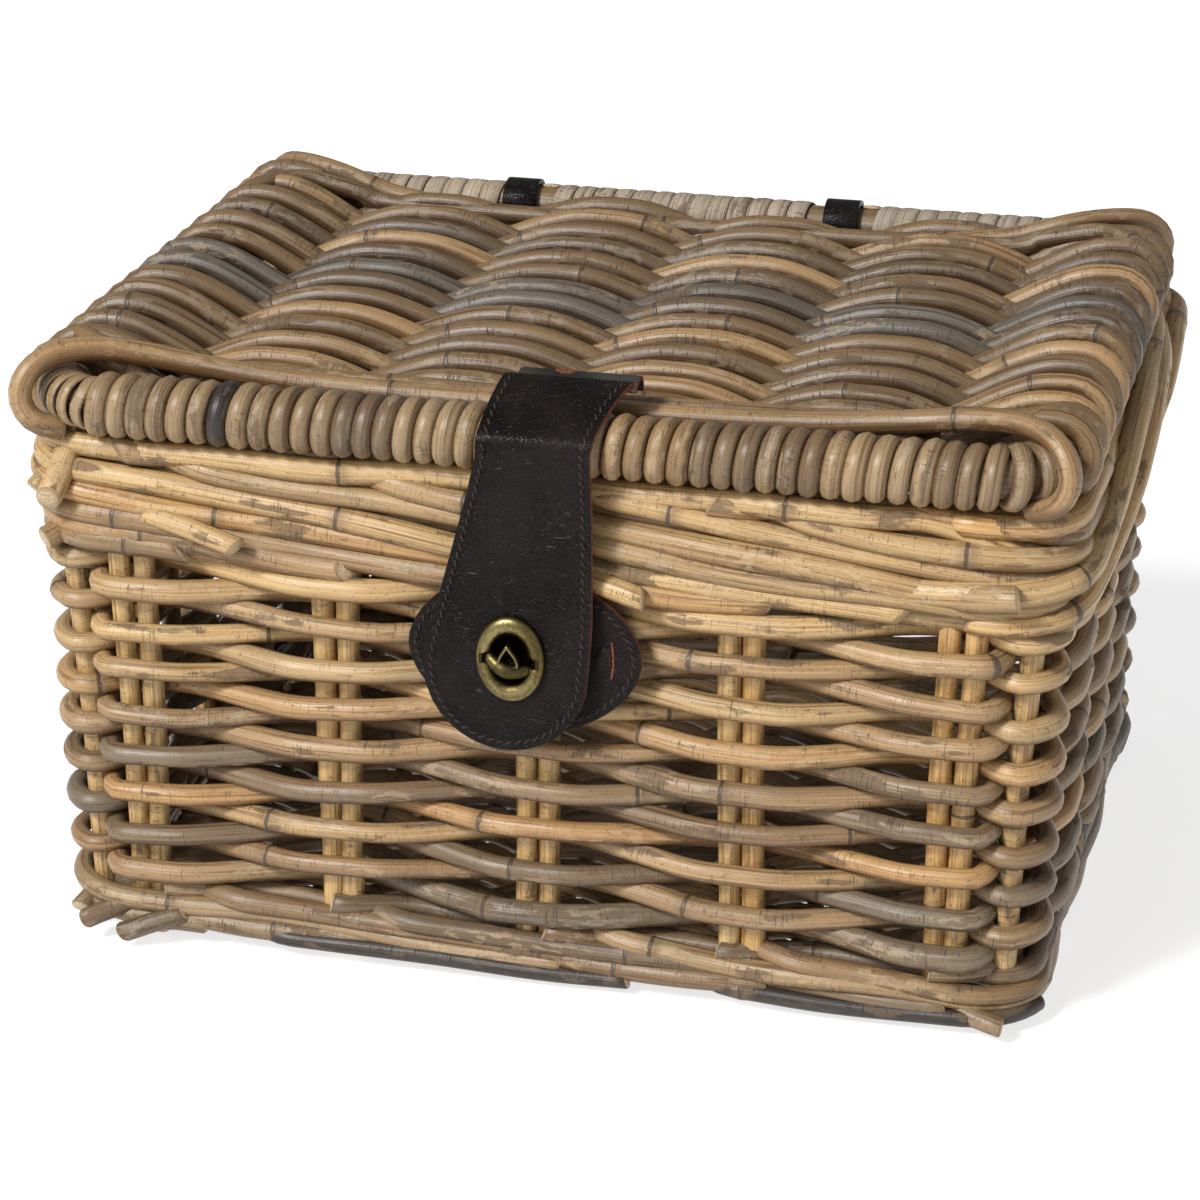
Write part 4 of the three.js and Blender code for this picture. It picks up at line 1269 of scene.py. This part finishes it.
ring_mid, ring_size = box_of("eyelet_ring")
ring_front, ring_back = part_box("eyelet_ring")[0][1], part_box("eyelet_ring")[1][1]
hole = (ring_size[0] / 2 - 0.0054, ring_size[2] / 2 - 0.0072)
rim_back = ring_front + 0.0025
rim = (ring_size[0] / 2 + 0.0007, ring_size[2] / 2)
collar = 0.0008
rim_rub = (0.05, 0.25, 0.45, 0.5, 0.42, 0.4, 0.5, 0.5, 0.4, 0.2, 0.1, 0.0, 0.0)
profile = []
for angle, worn in zip(np.radians(np.arange(0, 181, 15)), rim_rub):
    share = (1 + math.cos(angle)) / 2
    profile.append((hole[0] + (rim[0] - hole[0]) * share, hole[1] + (rim[1] - hole[1]) * share,
                    0.0033 * math.sin(angle)**0.8, worn))
profile.append((hole[0], hole[1], rim_back - ring_back, 0.0))
profile.append((hole[0] + collar, hole[1] + collar, rim_back - ring_back, 0.0))
profile.append((hole[0] + collar, hole[1] + collar, -0.0002, 0.0))
points, faces, wear_and_highlight = oval_loft((ring_mid[0], rim_back, ring_mid[2]), profile, True, 144)
notch_half, notch_depth, notch_step = 0.0021, 0.0019, 0.0006
for index, (x, y, z) in enumerate(points):
    x_off, z_off = x - ring_mid[0], z - ring_mid[2]
    angle = math.atan2(z_off, x_off)
    # Painted highlight: the rim is made lighter towards its upper left, where the key light falls; it is also
    # made lighter at its bottom.
    wear_and_highlight[index] *= 0.8 + 0.5 * max(0.0, math.cos(angle - 2.2)) + 0.45 * max(0.0, math.cos(angle + 1.45))
    inwards = 1 - clamp((math.hypot(x_off / hole[0], z_off / hole[1]) - 1) / 0.45)
    if abs(z_off + math.copysign(notch_step, x_off)) < notch_half and inwards > 0.3:
        points[index] = (x + math.copysign(notch_depth, x_off), y, z)
        wear_and_highlight[index] = 0.0
brass_piece("eyelet_ring_rim", points, faces, wear_and_highlight, "strap", "eyelet_ring")

washer_mid, washer_size = box_of("eyelet_washer")
washer = (washer_size[0] / 2, washer_size[2] / 2)
profile = [(*washer, -0.0003, 0.3), (*washer, 0.0003, 0.4),
           (washer[0] - 0.0006, washer[1] - 0.0006, 0.0005, 0.5), (*hole, 0.0005, 0.3), (*hole, -0.0005, 0.2),
           (washer[0] - 0.0004, washer[1] - 0.0004, -0.0005, 0.2)]
points, faces, wear_and_highlight = oval_loft(washer_mid, profile, True)
brass_piece("eyelet_washer_plate", points, faces, wear_and_highlight, "strap", "eyelet_washer")

lock_mid, lock_size = box_of("turn_lock_base")
lock_mid[1] += lock_size[1] / 2
flange = (lock_size[0] / 2, lock_size[2] / 2)
boss = (hole[0] - 0.0007, hole[1] - 0.0007)
boss_out = lock_size[1]
profile = [(*flange, 0.0, 0.1), (*flange, 0.0007, 0.3), (flange[0] - 0.0005, flange[1] - 0.0005, 0.001, 0.4),
           (*boss, 0.001, 0.0), (*boss, boss_out - 0.0030, 0.0),
           (boss[0] - 0.0006, boss[1] - 0.0006, boss_out - 0.0028, 0.0),
           (boss[0] - 0.0012, boss[1] - 0.0012, boss_out - 0.0058, 0.0),
           (boss[0] * 0.45, boss[1] * 0.4, boss_out - 0.0055, 0.0)]
points, faces, wear_and_highlight = oval_loft(lock_mid, profile, False)
brass_piece("turn_lock_base_plate", points, faces, wear_and_highlight, "basket", "turn_lock_base")


# ---- Turn-lock knob
# A cast bar, thick in its middle and bowed downwards, whose ends rest in the ring's inner edge; a pointed
# finger grip with a hollow face stands up from it. It turns on a post in the base.
knob_y = ring_front + 0.0012
bar_line = [(-0.0092, 0.0, 0.0021), (-0.0066, -0.0012, -0.0004), (-0.0015, -0.0024, -0.0034),
            (0.0042, -0.0014, -0.0040), (0.0085, 0.0, -0.0028)]
bar_path = through_points([(lock_mid[0] + x, knob_y + y, lock_mid[2] + z) for x, y, z in bar_line], 0.0008)
bar_sides = 16
points, wear_and_highlight = [], []
out = np.array((0, -1, 0))
for index, (spot, run) in enumerate(zip(bar_path, unit(np.gradient(bar_path, axis=0)))):
    share = index / (len(bar_path) - 1)
    girth = 0.0016 + 0.0013 * math.sin(math.pi * share)**1.1
    girth *= min(1.0, 0.35 + 9 * min(share, 1 - share))
    up = np.cross(run, out)
    up /= np.linalg.norm(up)
    for angle in np.arange(bar_sides) * 2 * math.pi / bar_sides:
        points.append(spot + girth * (1.05 * math.cos(angle) * up + math.sin(angle) * out))
        # The bar's front is made lighter, as rubbed brass, and its left third more so, a painted highlight.
        wear_and_highlight.append(0.06 + (0.42 if share < 0.3 else 0.22) * max(0.0, math.sin(angle)))
brass_piece("turn_lock_bar", points, loft_faces(len(bar_path), bar_sides), wear_and_highlight, "knob", "turn_lock_knob")

arch_side = [(0.0014, 0.0056), (0.0031, 0.0029), (0.0041, 0.0002), (0.0042, -0.0022)]
arch = [(-x, 0, z) for x, z in arch_side[::-1]] + [(0, 0, 0.0076)] + [(x, 0, z) for x, z in arch_side]
arch = through_points(arch, 0.0012)
heart = 0.0004
grip_layers = ((0.92, -0.0062, 0.0), (1.0, -0.001, 0.05), (1.0, 0.0010, 0.3), (0.94, 0.0019, 0.5),
               (0.80, 0.0021, 0.6), (0.66, 0.0008, 0.1), (0.52, -0.0022, 0.0))
points, wear_and_highlight = [], []
for size, out, worn in grip_layers:
    for x, _, z in arch:
        z = heart + (z - heart) * size
        tilt = 0.22 * (z + 0.003)
        points.append((lock_mid[0] + x * size, knob_y - out - 0.0012 - tilt, lock_mid[2] + z))
        wear_and_highlight.append(worn)
brass_piece("turn_lock_grip", points, loft_faces(len(grip_layers), len(arch)), wear_and_highlight, "knob", "turn_lock_knob")


# ---- Strap
# The flap is folded at its top, bends over the coiled front rail, hangs down the front and widens to a
# round head that the eyelet ring is set in. It is lined, and stitched all round close to its raw edge.
strap_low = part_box("strap_flap")[0]
flap_y = strap_low[1] + 0.001
flap_left, flap_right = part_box("strap_tail")[0][0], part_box("strap_tail")[1][0]
head_radius = 0.032
head_x = strap_low[0] + head_radius
head_z = strap_low[2] + head_radius
bend_radius = front_y - flap_y


def strap_edges(z):
    """The left and right edges of the hanging flap at a height over its round head."""
    share = clamp((z - head_z - 0.005) / (lid_level - head_z - 0.007))
    settled = min(1.0, (z - head_z) / 0.02)
    left = head_x - head_radius
    return left + (flap_left + 0.003 - left) * share, head_x + head_radius + 0.0015 * settled


# The flap's line over the rail: up its front, round the bend and back up a straight slope to the fold
over_rail = through_points([(-bend_radius - 0.0022, -0.0010), (-0.0178, 0.0018), (-0.0170, 0.0052),
                            (-0.0135, 0.0085), (-0.0070, 0.0131), (0.0, 0.0175), (0.0068, 0.0212),
                            (0.0086, 0.0218)], 0.0022)


# Where the flap is folded and where it bends; the pieces given these tuples are only baked in place, tied
# neither to the lid nor to the strap
fold_point = (0, front_y + 0.0086, lid_level + 0.0218)
bend_point = (0, front_y - 0.0165, lid_level - 0.006)
swings = ("lid", "strap", fold_point, bend_point)
stays = ("lid", "strap", (0, front_y - 0.05, lid_level), (0, front_y - 0.06, lid_level))


def strap_rows(inset, out, top):
    """Rows of the flap from its round end up to its fold; top is the share of its line over the rail."""
    rows = []
    for angle in np.radians([1.0, 4, 8, 13, 19, 26, 34, 43, 53, 64, 76]):
        z = head_z - (head_radius - inset) * math.cos(angle)
        half_width = (head_radius - inset) * math.sin(angle)
        rows.append(((head_x - half_width, flap_y - out, z), (head_x + half_width, flap_y - out, z), front))
    for z in np.arange(head_z, lid_level - 0.001, 0.0045):
        left, right = strap_edges(z)
        hollow = 0.0010 * math.sin(math.pi * min(1.0, (z - head_z) / (lid_level - head_z)))
        y = flap_y - out + hollow - 0.0022 * eased(clamp((z - lid_level + 0.022) / 0.020))
        rows.append(((left + inset, y, z), (right - inset, y, z), front))
    left, right = strap_edges(lid_level)
    slopes = unit(np.gradient(over_rail, axis=0))
    for index in range(1, int(len(over_rail) * top)):
        along, up = slopes[index]
        y, z = front_y + over_rail[index][0] - out * up, lid_level + over_rail[index][1] + out * along
        flare = (index / (len(over_rail) - 1))**2
        rows.append(((left + inset + 0.0055 * flare, y, z), (right - inset + 0.0120 * flare, y, z),
                     (0, -up, along)))
    return rows


def eyelet_cutter():
    """The oval that cuts the ring's hole out of the leather."""
    bpy.ops.mesh.primitive_cylinder_add(vertices=48, radius=1, depth=0.03, rotation=(math.pi / 2, 0, 0),
                                        location=(ring_mid[0], flap_y, ring_mid[2]))
    cutter = bpy.context.object
    cutter.scale = (hole[0] + 0.001, hole[1] + 0.001, 1)
    return cutter


leather_piece("strap_flap_leather", swings, strap_rows(0.0, 0.0, 1.0), 0.0021, "strap_flap", columns=18,
              hole=eyelet_cutter())
lining_rows = [row for row in strap_rows(0.0005, -0.0018, 0.1) if row[0][2] < lid_level - 0.012]
leather_piece("strap_lining_leather", "strap", lining_rows, 0.0013, "strap_lining", columns=18,
              materials=(raw_edge, raw_edge), hole=eyelet_cutter())
seam_rows = strap_rows(0.0031, 0.0012, 0.97)
stitches("strap_stitches", swings,
         [(right, out) for _, right, out in seam_rows[::-1]] + [(left, out) for left, _, out in seam_rows])

# The tail lies on the weave behind the fold, and its raw end turns down
tail_line = [(0.0070, 0.0192), (0.0100, 0.0212), (0.0140, 0.0222), (0.0172, 0.0214), (0.0188, 0.0190),
             (0.0188, 0.0160)]
tail_path = through_points([(0, front_y + y, lid_level + z) for y, z in tail_line], 0.002)
tail_rows = []
for index, (_, y, z) in enumerate(tail_path):
    rounding = 0.010 * max(0.0, (index / len(tail_path) - 0.3) / 0.7)**2
    tail_rows.append(((flap_left + 0.012 + rounding, y, z), (flap_right + 0.0122, y, z), (0, 0, 1)))
leather_piece("strap_tail_leather", stays, tail_rows, 0.0018, "strap_tail", materials=(suede, raw_edge))
spot_x, spot_y, spot_z = flap_left + 0.030, front_y + 0.0138, lid_level + 0.0229
spot_rows = []
for angle in np.radians(np.linspace(-85, 85, 11)):
    half_width = 0.0042 * math.cos(angle) * (1 + 0.2 * math.sin(3 * angle))
    y = spot_y + 0.0018 * math.sin(angle)
    spot_rows.append(((spot_x - half_width, y, spot_z), (spot_x + half_width, y, spot_z), (0, 0, 1)))
leather_piece("strap_tail_raw_spot", stays, spot_rows, 0.0011, columns=6, materials=(raw_edge, raw_edge))
